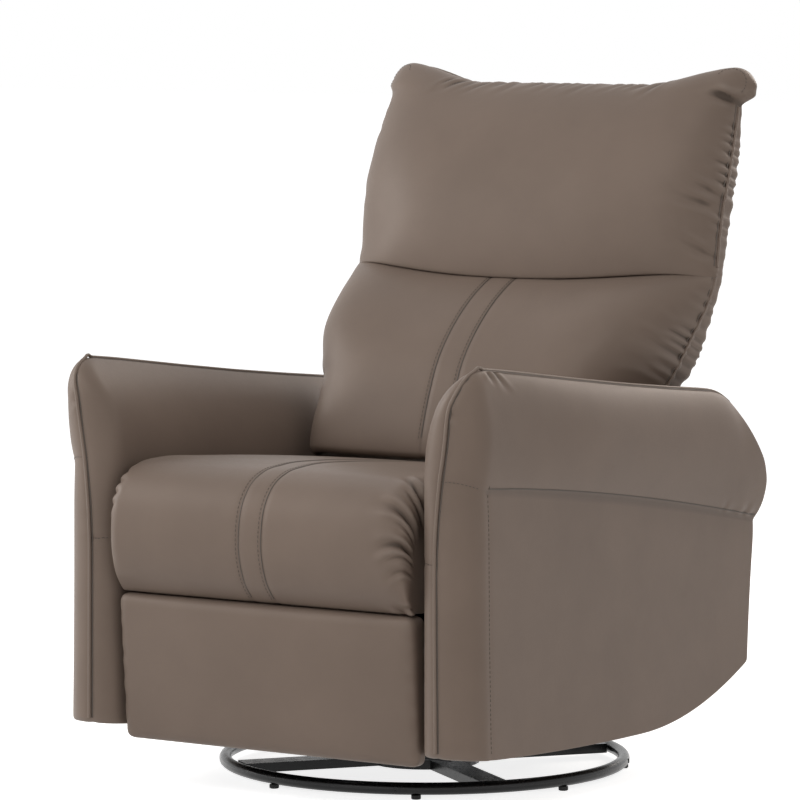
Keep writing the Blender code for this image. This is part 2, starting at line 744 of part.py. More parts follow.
def arm_pad_form(side):
    """Form of an arm's pad: upright inside, flaring out to the ridge, swelling outside."""
    flare = RIDGE_X - ARM_INNER

    def form(u, v, w):
        across, up = (u + 1) / 2, (w + 1) / 2
        rear = blend(PAD_REAR, RIDGE_REAR_Y, up ** PAD_REAR_BEND)
        y = blend(ARM_FRONT, rear, (v + 1) / 2)
        z = blend(arm_seam(y), arm_ridge(y), up)
        rise = max(0.0, 1.0 - (arm_ridge(y) - z) / FLARE_HEIGHT)
        inner = ARM_INNER + flare * rise ** FLARE_POWER
        swell = blend(PAD_SWELL_FRONT, PAD_SWELL_MIDDLE, hump((v + 1) / 2) ** PAD_FULLNESS)
        ridge = RIDGE_X + RIDGE_THICKNESS
        outer = blend(ARM_OUTER, ridge, up ** PAD_SHOULDER) + swell * hump(up) ** PAD_FULLNESS
        return Vector((side * blend(inner, outer, across), y, z))
    return form


def make_arms(rock):
    """Each arm: a board inside, the upright body that slides over it and the pad on top."""
    board_inner = (ARM_INNER + ARM_OUTER - ARM_BOARD_THICKNESS) / 2
    board_front = ARM_FRONT + ARM_BOARD_MARGIN
    board_rear = ARM_REAR_FOOT - ARM_BOARD_MARGIN
    board_low = arm_bottom(board_rear) + SEAT_GAP
    board_high = arm_seam(board_rear) - ARM_BOARD_MARGIN
    half = ((ARM_OUTER - ARM_INNER) / 2, (ARM_REAR_SEAM - ARM_FRONT) / 2, (SEAM_FRONT_Z - ARM_BOTTOM) / 2)
    pad_half = (half[0], half[1], (RIDGE_FRONT_Z - SEAM_FRONT_Z) / 2)
    for side, hand in ((1, "left"), (-1, "right")):
        xs = sorted((side * board_inner, side * (board_inner + ARM_BOARD_THICKNESS)))
        board = box((xs[0], board_front, board_low), (xs[1], board_rear, board_high))
        part(board, f"arm_frame_{hand}", TIMBER, rock, None)

        body = padded_block(half, ARM_EDGE, (0, 5, 0), arm_body_form(side))
        slot = box((xs[0] - SEAT_GAP, board_front - SEAT_GAP, 0.0),
                   (xs[1] + SEAT_GAP, board_rear + SEAT_GAP, board_high + SEAT_GAP))
        part(combine(body, slot, "DIFFERENCE"), f"arm_body_{hand}", LEATHER, rock)

        pad = padded_block(pad_half, PAD_EDGE, (1, 6, 3), arm_pad_form(side))
        part(pad, f"arm_pad_{hand}", LEATHER, rock)


def rear_panel_form(u, v, w):
    """Form of the panel that closes the rear between the arms and leans with their rear edges."""
    z = blend(REAR_PANEL_BOTTOM, REAR_PANEL_TOP, (w + 1) / 2)
    up = (z - arm_bottom(ARM_REAR_FOOT)) / (SEAM_REAR_Z - arm_bottom(ARM_REAR_FOOT))
    outer = blend(ARM_REAR_FOOT, ARM_REAR_SEAM, up) - REAR_PANEL_INSET
    y = outer - REAR_PANEL_THICKNESS * (1 - v) / 2
    return Vector((u * (ARM_INNER - SEAT_GAP), y, z))


def make_rear_panel(rock):
    """The upholstered panel that closes the chair's rear, from arm to arm."""
    half = (ARM_INNER, REAR_PANEL_THICKNESS / 2, (REAR_PANEL_TOP - REAR_PANEL_BOTTOM) / 2)
    part(padded_block(half, REAR_PANEL_EDGE, (0, 0, 0), rear_panel_form), "rear_panel", LEATHER, rock)


def make_control(rock, presses):
    """The switch plate on the outside of the right arm, with its two push buttons."""
    face = -(ARM_OUTER + SEAT_GAP)
    front = face - CONTROL_THICKNESS
    corners = rectangle(CONTROL_Y - CONTROL_LENGTH / 2, CONTROL_Y + CONTROL_LENGTH / 2,
                        CONTROL_Z - CONTROL_HEIGHT / 2, CONTROL_Z + CONTROL_HEIGHT / 2)
    outline = rounded_outline(corners, CONTROL_CORNER)
    buttons = (("recline_button", CONTROL_Y - BUTTON_PITCH / 2),
               ("return_button", CONTROL_Y + BUTTON_PITCH / 2))
    holes = [square_hole((y, CONTROL_Z), BUTTON_SIDE + 2 * PIN_CLEARANCE) for _, y in buttons]
    part(plate((-face, -front), outline, holes, -1), "control_plate", BLACK_PLASTIC, rock)
    outer = front - BUTTON_PROUD
    half = BUTTON_SIDE / 2
    for (name, y), press in zip(buttons, presses):
        low = (outer, y - half, CONTROL_Z - half)
        high = (outer + BUTTON_THICKNESS, y + half, CONTROL_Z + half)
        part(soften(box(low, high), BUTTON_EDGE), name, BLACK_PLASTIC, press)


def link(x_range, hole, pin, pin_end, side):
    """A round-ended link with a hole at one pivot and a pin at the other."""
    bore = circle(hole, PIN_RADIUS + PIN_CLEARANCE)
    obj = plate(x_range, bar_outline(hole, pin, LINK_WIDTH), [bore], side)
    return add_pin(obj, sum(x_range) / 2, pin_end, pin, side)


def make_swing_links(rear_axis, front_axis):
    """The four links on which the seat swings forward as it reclines."""
    pin_end = SEAT_LAYER[0] - RUN_CLEARANCE
    for place, y, axis in (("rear", SWING_REAR_Y, rear_axis), ("front", SWING_FRONT_Y, front_axis)):
        for side, hand in ((1, "left"), (-1, "right")):
            swing = link(SWING_LAYER, (y, SWING_BASE_Z), (y + SWING_OFFSET, SWING_TOP_Z), pin_end, side)
            part(swing, f"{place}_swing_link_{hand}", DARK_STEEL, axis)


def make_seat_frame(seat):
    """The seat's side plates with their flanges and pivots, its timber rails and its webbing."""
    top = DECK_Z - SEAT_GAP
    rear = BACK_PIVOT[0] + LINK_WIDTH
    low, lobe = top - SEAT_PLATE_HEIGHT, top - SEAT_LOBE_DROP
    corners = [(rear, top), (SEAT_PLATE_FRONT, top), (SEAT_PLATE_FRONT, low), (SEAT_LOBE_FRONT, lobe),
               (SEAT_LOBE_REAR, lobe), (SEAT_LOBE_REAR, low), (rear, low)]
    outline = rounded_outline(corners, SEAT_PLATE_CORNER)
    swings = [(y + SWING_OFFSET, SWING_TOP_Z) for y in (SWING_FRONT_Y, SWING_REAR_Y)]
    holes = [circle(centre, PIN_RADIUS + PIN_CLEARANCE) for centre in swings]
    middle = sum(SEAT_LAYER) / 2
    pins = ((BACK_PIVOT, BACK_LAYER[1] + RUN_CLEARANCE),
            (OTTOMAN_PIVOT, OTTOMAN_LAYER[0] + RUN_CLEARANCE),
            (FRONT_PIVOT, INNER_LAYER[0] - RUN_CLEARANCE))
    flange_inner = SEAT_LAYER[0] - FLANGE_WIDTH
    rail_rear = RAIL_REAR_Y + RAIL_WIDTH / 2
    for side, hand in ((1, "left"), (-1, "right")):
        obj = plate(SEAT_LAYER, outline, holes, side)
        for centre, end in pins:
            add_pin(obj, middle, end, centre, side)
        xs = sorted((side * flange_inner, side * middle))
        flange = box((xs[0], SEAT_PLATE_FRONT + SEAT_PLATE_CORNER, top - FLANGE_THICKNESS),
                     (xs[1], rail_rear, top))
        part(combine(obj, flange, "UNION"), f"seat_plate_{hand}", DARK_STEEL, seat)

    reach = flange_inner + RAIL_LAP
    rails = (("seat_front_rail", SEAT_PLATE_FRONT + RAIL_WIDTH / 2), ("seat_rear_rail", RAIL_REAR_Y))
    for name, y in rails:
        rail = box((-reach, y - RAIL_WIDTH / 2, DECK_UNDER - RAIL_HEIGHT),
                   (reach, y + RAIL_WIDTH / 2, DECK_UNDER))
        part(rail, name, TIMBER, seat, None)
    half = flange_inner - SEAT_GAP
    deck = box((-half, SEAT_PLATE_FRONT, DECK_UNDER + SEAT_GAP), (half, rail_rear, top))
    part(deck, "seat_webbing", WEBBING, seat, None)


def seat_form(u, v, w):
    """Form of the seat cushion: flat below, crowned above, rolling over the front of the seat."""
    lip_z = FOOTREST_TOP + SEAT_LIP_GAP
    nose = SEAT_PLATE_FRONT - SEAT_NOSE_GAP
    upper = [(SEAT_REAR_TOP_Y, SEAT_REAR_TOP_Z), (SEAT_MIDDLE_Y, SEAT_MIDDLE_Z),
             (SEAT_CREST_Y, SEAT_CREST_Z), (SEAT_SHOULDER_Y, SEAT_SHOULDER_Z),
             (SEAT_BULGE_Y, SEAT_BULGE_Z), (SEAT_LIP_Y, lip_z)]
    lower = [(SEAT_REAR_BOTTOM_Y, DECK_Z), (SEAT_MIDDLE_Y, DECK_Z), (SEAT_CREST_Y, DECK_Z),
             (nose, DECK_Z), (nose, blend(DECK_Z, lip_z, 0.5)), (nose, lip_z)]
    along = (v + 1) / 2
    half = ARM_INNER - SEAT_SIDE_GAP - SEAT_DRAW * hump(along)
    x = u * half
    top = through(upper, along)
    bottom = along_line(lower, along)
    full = (w + 1) / 2 * (1.0 - SEAT_SIDE_DROP * abs(u) ** SIDE_EDGE)
    depth = (top - bottom).length
    full -= band_dip(x) / depth * max(0.0, w)
    y, z = bottom.lerp(top, full)
    return Vector((x, y, z))


def make_seat_cushion(seat):
    """The seat cushion with its front roll and sewn centre band."""
    depth = SEAT_REAR_TOP_Y - SEAT_BULGE_Y + SEAT_CREST_Z - FOOTREST_TOP
    half = (ARM_INNER - SEAT_SIDE_GAP, depth / 2, (SEAT_CREST_Z - DECK_Z) / 2)
    nose = (2 * SEAT_NOSE_SHARE - 1) * half[1]
    cushion = padded_block(half, SEAT_EDGE, (4, 10, 1), seat_form, band_lines(), [nose])
    part(cushion, "seat_cushion", LEATHER, seat)


def make_drive(seat, block_axis):
    """The motor under the rear rail, the rail that runs forward from it and the block it drives."""
    rail_top = DECK_UNDER - RAIL_HEIGHT - SEAT_GAP
    motor_y = RAIL_REAR_Y
    low_z = ACTUATOR_TOP - ACTUATOR_HEIGHT
    gearbox = box((-GEARBOX_HALF, motor_y - GEARBOX_LENGTH / 2, low_z),
                  (GEARBOX_HALF, motor_y + GEARBOX_LENGTH / 2, rail_top))
    centre = (motor_y, (low_z + rail_top) / 2)
    can = rod_x(0.0, GEARBOX_HALF + MOTOR_LENGTH, centre, MOTOR_RADIUS, 20)
    gland = rod_x(GEARBOX_HALF, GEARBOX_HALF + MOTOR_LENGTH + GLAND_LENGTH, centre, GLAND_RADIUS, 12)
    combine(combine(gearbox, can, "UNION"), gland, "UNION")
    part(gearbox, "recline_motor", BLACK_PLASTIC, seat)

    rear = motor_y - GEARBOX_LENGTH / 2 - SEAT_GAP
    front = SEAT_PLATE_FRONT + RAIL_WIDTH / 2
    rail = box((-ACTUATOR_HALF, front, low_z), (ACTUATOR_HALF, rear, ACTUATOR_TOP))
    hanger = box((-ACTUATOR_HALF, front, low_z), (ACTUATOR_HALF, front + ACTUATOR_HALF, rail_top))
    part(combine(rail, hanger, "UNION"), "actuator_rail", BRIGHT_STEEL, seat)

    block_y = ahead(OTTOMAN_PIVOT, CRANK_LENGTH, CRANK_REST)[0]
    base = ACTUATOR_TOP + SEAT_GAP
    block = box((-BLOCK_HALF, block_y - BLOCK_LENGTH / 2, base),
                (BLOCK_HALF, block_y + BLOCK_LENGTH / 2, base + BLOCK_HEIGHT))
    part(soften(block, BLOCK_EDGE), "drive_block", BLACK_PLASTIC, block_axis)


def make_footrest_links(ottoman, coupler, front):
    """The drive tube with its crank and the three pairs of footrest links."""
    reach = OTTOMAN_LAYER[0] - SEAT_GAP
    tube = rod_x(-reach, reach, OTTOMAN_PIVOT, DRIVE_TUBE_RADIUS)
    crank_tip = ahead(OTTOMAN_PIVOT, CRANK_LENGTH, CRANK_REST)
    crank = bar_outline(OTTOMAN_PIVOT, crank_tip, LINK_WIDTH)
    for side in (1, -1):
        combine(tube, plate((CRANK_INNER, CRANK_INNER + CRANK_THICKNESS), crank, (), side), "UNION")
    part(tube, "footrest_drive_tube", DARK_STEEL, ottoman)

    for side, hand in ((1, "left"), (-1, "right")):
        rear_link = link(OTTOMAN_LAYER, OTTOMAN_PIVOT, HEEL_PIVOT, COUPLER_LAYER[0] - RUN_CLEARANCE, side)
        part(rear_link, f"ottoman_link_{hand}", DARK_STEEL, ottoman)
        tie = link(COUPLER_LAYER, HEEL_PIVOT, TIP_PIVOT, INNER_LAYER[0] - RUN_CLEARANCE, side)
        part(tie, f"coupler_link_{hand}", DARK_STEEL, coupler)
        short = COUPLER_LAYER[0] - RUN_CLEARANCE
        front_link = link(INNER_LAYER, FRONT_PIVOT, CROSS_POINT, short, side)
        part(front_link, f"front_link_{hand}", DARK_STEEL, front)


def footrest_form(u, v, w):
    """Form of the footrest's padded panel: flat behind, gently crowned in front."""
    full = (1 - u ** CROWN_EDGE) * (1 - w ** CROWN_EDGE)
    x = u * (ARM_INNER - FOOTREST_SIDE_GAP)
    front = FOOTREST_FRONT - FOOTREST_CROWN * full
    y = blend(FOOTREST_BACK, front, (1 - v) / 2)
    return Vector((x, y, blend(FOOTREST_BOTTOM, FOOTREST_TOP, (w + 1) / 2)))


def make_footrest(axis):
    """The footrest's brackets and its padded panel."""
    back = FOOTREST_BACK + SEAT_GAP
    eye = LINK_WIDTH / 2
    bore = circle(TIP_PIVOT, PIN_RADIUS + PIN_CLEARANCE)
    round_end = arc(TIP_PIVOT, eye, 0.0, math.pi, 8)[:5]
    outline = [(back, BRACKET_FOOT), (back + eye, BRACKET_FOOT), *round_end, (back, TIP_PIVOT[1] + eye)]
    for side, hand in ((1, "left"), (-1, "right")):
        part(plate(INNER_LAYER, outline, [bore], side), f"footrest_bracket_{hand}", DARK_STEEL, axis)
    half = (ARM_INNER - FOOTREST_SIDE_GAP, (FOOTREST_BACK - FOOTREST_FRONT) / 2,
            (FOOTREST_TOP - FOOTREST_BOTTOM) / 2)
    panel = padded_block(half, FOOTREST_EDGE, (5, 1, 3), footrest_form)
    part(panel, "footrest_panel", LEATHER, axis)


def back_point(x, height, depth):
    """A place in the back, by its height along the lean and its depth forward of the pivot."""
    lean, rise = math.sin(BACK_LEAN), math.cos(BACK_LEAN)
    return Vector((x, BACK_PIVOT[0] + height * lean - depth * rise,
                   BACK_PIVOT[1] + height * rise + depth * lean))


def back_half(height):
    """Half the back's width, which widens above the arms to the shoulders and narrows to the top."""
    widen = (height - BACK_WIDEN_START) / (BACK_SHOULDER - BACK_WIDEN_START)
    half = blend(BACK_LOW_HALF, SHOULDER_HALF, max(0.0, min(1.0, widen)))
    narrow = max(0.0, min(1.0, (height - BACK_SEAM) / (BACK_TOP - BACK_SEAM)))
    return half - (SHOULDER_HALF - HEAD_TOP_HALF) * narrow ** 2


def ear_lift(u, share):
    """How far the back's top corners rise into ears above the middle of its top edge."""
    return EAR_RISE * abs(u) ** EAR_EDGE * share ** EAR_REACH


def shell_form(u, v, w):
    """Form of the upholstered outer back."""
    share = (w + 1) / 2
    height = blend(BACK_BOTTOM, BACK_TOP, share)
    depth = blend(BACK_REAR, BACK_FACE, (1 - v) / 2)
    return back_point(u * back_half(height), height + ear_lift(u, share), depth)


def cushion_form(bottom, top, crown, fullest, lift, band):
    """Form of a back cushion: flat behind, crowned in front and fullest at a share of its height."""
    def form(u, v, w):
        share = (w + 1) / 2
        height = blend(bottom, top, share)
        x = u * back_half(height)
        rise = hump(share ** (math.log(0.5) / math.log(fullest))) ** CROWN_FULLNESS
        thick = PILLOW_EDGE + crown * (1 - u ** CUSHION_EDGE) * rise
        if band:
            thick -= band_dip(x)
        depth = BACK_FACE + SEAT_GAP + thick * (1 - v) / 2
        return back_point(x, height + (ear_lift(u, share) if lift else 0.0), depth)
    return form


def box_in_back(x0, x1, height0, height1, depth0, depth1):
    """A box that leans with the back."""
    obj = box((x0, -depth1, height0), (x1, -depth0, height1))
    middle = back_point((x0 + x1) / 2, (height0 + height1) / 2, (depth0 + depth1) / 2)
    obj.location = middle
    obj.rotation_euler.x = -BACK_LEAN
    return obj


def make_back(axis):
    """The back: its brackets and board, the outer back round them and the two cushions."""
    floor = BACK_REAR + SHELL_FLOOR
    board_half = BACK_LAYER[0] - SEAT_GAP
    pocket_half = BACK_LAYER[1] + SEAT_GAP
    board = box_in_back(-board_half, board_half, BACK_BOARD_BOTTOM, BACK_BOARD_TOP,
                        floor + SEAT_GAP, BACK_FACE)
    part(board, "back_frame", TIMBER, axis, None)

    top = back_point(0.0, BRACKET_LENGTH, 0.0)
    width = 2 * (BACK_FACE - SEAT_GAP)
    bore = circle(BACK_PIVOT, PIN_RADIUS + PIN_CLEARANCE)
    for side, hand in ((1, "left"), (-1, "right")):
        bracket = plate(BACK_LAYER, bar_outline(BACK_PIVOT, (top.y, top.z), width), [bore], side)
        part(bracket, f"back_bracket_{hand}", DARK_STEEL, axis)

    half = (SHOULDER_HALF, (BACK_FACE - BACK_REAR) / 2, (BACK_TOP - BACK_BOTTOM) / 2)
    shell = padded_block(half, SHELL_EDGE, (4, 1, 8), shell_form)
    pocket = box_in_back(-pocket_half, pocket_half, 0.0, BACK_BOARD_TOP + SEAT_GAP,
                         floor, BACK_FACE + SHELL_FLOOR)
    part(combine(shell, pocket, "DIFFERENCE"), "back_shell", LEATHER, axis)

    half = (BACK_LOW_HALF, PILLOW_EDGE / 2, (BACK_SEAM - LUMBAR_BOTTOM) / 2)
    form = cushion_form(LUMBAR_BOTTOM, BACK_SEAM, LUMBAR_CROWN, LUMBAR_FULLEST, False, True)
    part(padded_block(half, PILLOW_ROUND, (4, 1, 9), form, band_lines()), "lumbar_cushion", LEATHER, axis)

    bottom = BACK_SEAM + PILLOW_GAP
    half = (SHOULDER_HALF, PILLOW_EDGE / 2, (BACK_TOP - bottom) / 2)
    form = cushion_form(bottom, BACK_TOP, HEAD_CROWN, HEAD_FULLEST, True, False)
    part(padded_block(half, PILLOW_ROUND, (8, 1, 6), form), "head_pillow", LEATHER, axis)


def main():
    """Build the chair from the floor up, each joint's empty carried by the one before it."""
    floor = joint_axis("floor", (0.0, 0.0, 0.0))
    swivel = joint_axis("swivel_axis", (0.0, 0.0, CAP_BASE), floor)
    rock = joint_axis("rock_axis", (0.0, 0.0, ROCK_HEIGHT), swivel)
    control = (-ARM_OUTER, CONTROL_Y, CONTROL_Z)
    presses = [joint_axis(f"{name}_press_axis", control, rock) for name in ("recline", "return")]
    rear_swing = joint_axis("rear_swing_axis", (0.0, SWING_REAR_Y, SWING_BASE_Z), rock)
    front_swing = joint_axis("front_swing_axis", (0.0, SWING_FRONT_Y, SWING_BASE_Z), rock)
    seat = joint_axis("seat_axis", (0.0, SWING_REAR_Y + SWING_OFFSET, SWING_TOP_Z), rear_swing)
    block = joint_axis("drive_axis", (0.0, OTTOMAN_PIVOT_Y, ACTUATOR_TOP), seat)
    ottoman = joint_axis("ottoman_axis", (0.0, *OTTOMAN_PIVOT), seat)
    front_link = joint_axis("front_link_axis", (0.0, *FRONT_PIVOT), seat)
    coupler = joint_axis("coupler_axis", (0.0, *HEEL_PIVOT), ottoman)
    footrest = joint_axis("footrest_axis", (0.0, *TIP_PIVOT), coupler)
    back = joint_axis("recline_axis", (0.0, *BACK_PIVOT), seat)

    make_base(floor)
    make_turntable(swivel)
    make_springs(rock)
    make_chair_frame(rock)
    make_arms(rock)
    make_rear_panel(rock)
    make_control(rock, presses)
    make_swing_links(rear_swing, front_swing)
    make_seat_frame(seat)
    make_seat_cushion(seat)
    make_drive(seat, block)
    make_footrest_links(ottoman, coupler, front_link)
    make_footrest(footrest)
    make_back(back)


main()
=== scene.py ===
"""Upholstered look of a power swivel rocker recliner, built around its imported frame.

Lengths are in metres. The chair faces -Y, +X is the sitter's left and Z points up.
"""

from __future__ import annotations

import json
import logging
import math
from collections.abc import Callable, Sequence
from dataclasses import dataclass, field, replace
from enum import Enum
from typing import Any

import bmesh
import bpy
import numpy as np
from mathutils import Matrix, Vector
from mathutils.bvhtree import BVHTree

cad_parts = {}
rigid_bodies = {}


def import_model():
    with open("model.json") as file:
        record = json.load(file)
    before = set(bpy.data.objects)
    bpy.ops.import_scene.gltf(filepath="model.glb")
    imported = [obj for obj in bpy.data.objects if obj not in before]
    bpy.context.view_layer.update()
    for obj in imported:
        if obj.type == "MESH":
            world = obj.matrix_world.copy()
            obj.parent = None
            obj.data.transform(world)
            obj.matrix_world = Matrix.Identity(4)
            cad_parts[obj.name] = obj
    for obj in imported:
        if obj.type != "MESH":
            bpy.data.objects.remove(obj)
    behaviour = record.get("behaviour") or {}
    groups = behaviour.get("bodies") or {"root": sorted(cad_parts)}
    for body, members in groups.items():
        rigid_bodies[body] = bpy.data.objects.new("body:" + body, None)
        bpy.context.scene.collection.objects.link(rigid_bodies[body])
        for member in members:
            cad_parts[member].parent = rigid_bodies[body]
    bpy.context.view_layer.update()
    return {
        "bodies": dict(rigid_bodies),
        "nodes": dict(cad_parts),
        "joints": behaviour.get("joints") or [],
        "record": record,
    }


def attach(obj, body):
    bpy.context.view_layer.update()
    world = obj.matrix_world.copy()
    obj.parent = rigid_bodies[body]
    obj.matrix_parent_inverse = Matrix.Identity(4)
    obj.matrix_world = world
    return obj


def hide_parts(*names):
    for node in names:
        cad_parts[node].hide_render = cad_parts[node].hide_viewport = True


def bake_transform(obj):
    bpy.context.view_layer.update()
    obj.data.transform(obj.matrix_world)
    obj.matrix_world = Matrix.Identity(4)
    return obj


LOG = logging.getLogger("recliner")

Array = np.ndarray
Colour = tuple[float, float, float]
Point = tuple[float, float, float]


class Slot(Enum):
    """Material slots of the record."""

    FABRIC = "taupe_coated_fabric"
    GLOSS_STEEL = "gloss_black_steel"
    PAINTED_STEEL = "dark_painted_steel"
    ZINC = "zinc_plated_steel"
    TIMBER = "frame_timber"
    PLASTIC = "black_plastic"
    RUBBER = "black_rubber"
    WEBBING = "elastic_webbing"


class Side(Enum):
    """The sitter's left and right, with the sign of X on that side."""

    LEFT = 1
    RIGHT = -1

    @property
    def word(self) -> str:
        """The side's name as the CAD nodes spell it."""
        return self.name.lower()


# ---------------------------------------------------------------- small maths


def blend(low: Any, high: Any, share: Any) -> Any:
    """Value at a share of the way from low to high."""
    return low + (high - low) * share


def smooth(start: float, end: float, value: Array) -> Array:
    """Soft step from 0 at start to 1 at end."""
    share = np.clip((value - start) / (end - start), 0.0, 1.0)
    return share * share * (3.0 - 2.0 * share)


def hump(share: Array) -> Array:
    """Parabola that is 1 half way and 0 at both ends."""
    return np.clip(4.0 * share * (1.0 - share), 0.0, 1.0)


def bell(value: Array) -> Array:
    """Bell curve of height 1 and width 1."""
    return np.exp(-value * value)


def denser(unit: Array, share: float) -> Array:
    """Draws points that run from -1 to 1 closer together near both ends."""
    return blend(unit, np.sin(unit * math.pi / 2.0), share)


def eased_table(points: Sequence[tuple[float, float]], ease: float = 0.02) -> Callable[[Array], Array]:
    """Makes a smooth function of one value from a few points.

    Args:
        points: Places and values, in rising order of place.
        ease: Length over which the corners at the points are rounded.

    Returns:
        The function, for arrays.
    """
    places = np.array([p for p, _ in points])
    values = np.array([v for _, v in points])
    fine = np.arange(places[0] - 3 * ease, places[-1] + 3 * ease, ease / 10)
    raw = np.interp(fine, places, values)
    kernel = np.hanning(41)
    eased = np.convolve(np.pad(raw, 20, mode="edge"), kernel / kernel.sum(), mode="valid")
    return lambda value: np.interp(value, fine, eased)


def spline(points: Sequence[Sequence[float]], knots: Array, share: Array) -> Array:
    """Smooth curve through points.

    Args:
        points: The points that the curve passes through.
        knots: Share of the way at each point, from 0 to 1.
        share: Shares at which the curve is wanted.

    Returns:
        One row of coordinates for each share.
    """
    nodes = np.asarray(points, float)
    slopes = np.gradient(nodes, knots, axis=0)
    span = np.clip(np.searchsorted(knots, share, side="right") - 1, 0, len(knots) - 2)
    width = (knots[span + 1] - knots[span])[:, None]
    t = (share[:, None] - knots[span][:, None]) / width
    return (nodes[span] * (2 * t**3 - 3 * t**2 + 1) + slopes[span] * width * (t**3 - 2 * t**2 + t)
            + nodes[span + 1] * (3 * t**2 - 2 * t**3) + slopes[span + 1] * width * (t**3 - t**2))


# ---------------------------------------------------------------- mesh helpers


def deselect_all() -> None:
    """Clears the selection, so that an operator acts on the new piece alone."""
    for item in bpy.context.selected_objects:
        item.select_set(False)


def make_active(piece: bpy.types.Object) -> None:
    """Makes one object the selected and active one.

    Args:
        piece: The object.
    """
    deselect_all()
    piece.select_set(True)
    bpy.context.view_layer.objects.active = piece


def apply_modifier(piece: bpy.types.Object, name: str) -> None:
    """Applies one modifier of a piece."""
    make_active(piece)
    bpy.ops.object.modifier_apply(modifier=name)


def rows_of(items: Any, name: str, width: int, kind: type = float) -> Array:
    """Reads a property of all vertices, edges or values of a mesh.

    Args:
        items: The mesh's vertices, edges or values.
        name: The property's name.
        width: How many numbers it has.
        kind: Type of the numbers.

    Returns:
        One row for each item.
    """
    flat = np.empty(len(items) * width, kind)
    items.foreach_get(name, flat)
    return flat.reshape(-1, width)


def read_places(mesh: bpy.types.Mesh) -> Array:
    """Vertex places of a mesh, one row each."""
    return rows_of(mesh.vertices, "co", 3)


def write_places(mesh: bpy.types.Mesh, places: Array) -> None:
    """Puts the vertices of a mesh in new places."""
    mesh.vertices.foreach_set("co", np.ascontiguousarray(places, float).ravel())
    mesh.update()


def read_normals(mesh: bpy.types.Mesh) -> Array:
    """Vertex normals of a mesh, one row each."""
    return rows_of(mesh.vertex_normals, "vector", 3)


def edge_ends(mesh: bpy.types.Mesh) -> Array:
    """The two vertices of each edge of a mesh."""
    return rows_of(mesh.edges, "vertices", 2, np.int64)


def spread(values: Array, ends: Array) -> Array:
    """Mean of the neighbours' values at each vertex.

    Args:
        values: One value for each vertex.
        ends: The two vertices of each edge.

    Returns:
        One mean for each vertex.
    """
    count = len(values)
    total = (np.bincount(ends[:, 0], values[ends[:, 1]], count)
             + np.bincount(ends[:, 1], values[ends[:, 0]], count))
    return total / np.maximum(np.bincount(ends.ravel(), minlength=count), 1)


def mark_creases(mesh: bpy.types.Mesh, rounds: int = 3) -> None:
    """Stores how hollow (above 0) or rubbed (below 0) the surface is: the fabric paints shade into the hollows and
    lightens the ridges as rubbed wear.

    Args:
        mesh: The finished mesh.
        rounds: How often the value is averaged with its neighbours.
    """
    ends = edge_ends(mesh)
    places, normals = read_places(mesh), read_normals(mesh)
    step = np.mean(np.linalg.norm(places[ends[:, 0]] - places[ends[:, 1]], axis=1))
    middle = np.stack([spread(places[:, axis], ends) for axis in range(3)], axis=1)
    hollow = np.einsum("ij,ij->i", middle - places, normals) / (step * step)
    for _ in range(rounds):
        hollow = 0.5 * hollow + 0.5 * spread(hollow, ends)
    mark = mesh.attributes.new("crease", "FLOAT", "POINT")
    mark.data.foreach_set("value", np.clip(hollow / 40.0, -1.0, 1.0))


def give_finish(mesh: bpy.types.Mesh, finish: bpy.types.Material) -> None:
    """Gives a mesh one material and takes its unused texture maps away.

    Args:
        mesh: The mesh.
        finish: The material.
    """
    while mesh.uv_layers:
        mesh.uv_layers.remove(mesh.uv_layers[0])
    mesh.materials.clear()
    mesh.materials.append(finish)


def surface_of(piece: bpy.types.Object) -> BVHTree:
    """Search tree over the faces of a piece."""
    return BVHTree.FromObject(piece, bpy.context.evaluated_depsgraph_get())


def even_path(points: Array, pitch: float) -> Array:
    """Points at even distances along a line of points.

    Args:
        points: The line's points.
        pitch: Distance between the new points.

    Returns:
        The new points.
    """
    steps = np.linalg.norm(np.diff(points, axis=0), axis=1)
    along = np.concatenate([[0.0], np.cumsum(steps)])
    count = max(2, int(round(along[-1] / pitch)) + 1)
    wanted = np.linspace(0.0, along[-1], count)
    return np.stack([np.interp(wanted, along, points[:, axis]) for axis in range(3)], axis=1)


def lay_on(surface: BVHTree, points: Array, lift: float) -> tuple[Array, Array]:
    """Puts points onto a surface.

    Args:
        surface: The surface's search tree.
        points: Points near the surface.
        lift: Height above the surface.

    Returns:
        The new points, and the surface's normals there.
    """
    places, normals = [], []
    for point in points:
        place, normal, _, _ = surface.find_nearest(Vector(point))
        places.append(place)
        normals.append(normal)
    normal_rows = np.array(normals)
    padded_rows = np.pad(normal_rows, ((2, 2), (0, 0)), mode="edge")
    eased = sum(padded_rows[k:k + len(normal_rows)] for k in range(5))
    eased /= np.linalg.norm(eased, axis=1)[:, None]
    return np.array(places) + eased * lift, eased


def ease_path(points: Array, rounds: int) -> Array:
    """Smooths a line of points, with its ends kept.

    Args:
        points: The line's points.
        rounds: How often it is smoothed.

    Returns:
        The new points.
    """
    eased = points.copy()
    for _ in range(rounds):
        eased[1:-1] = 0.25 * eased[:-2] + 0.5 * eased[1:-1] + 0.25 * eased[2:]
    return eased


# ---------------------------------------------------------------- finishes


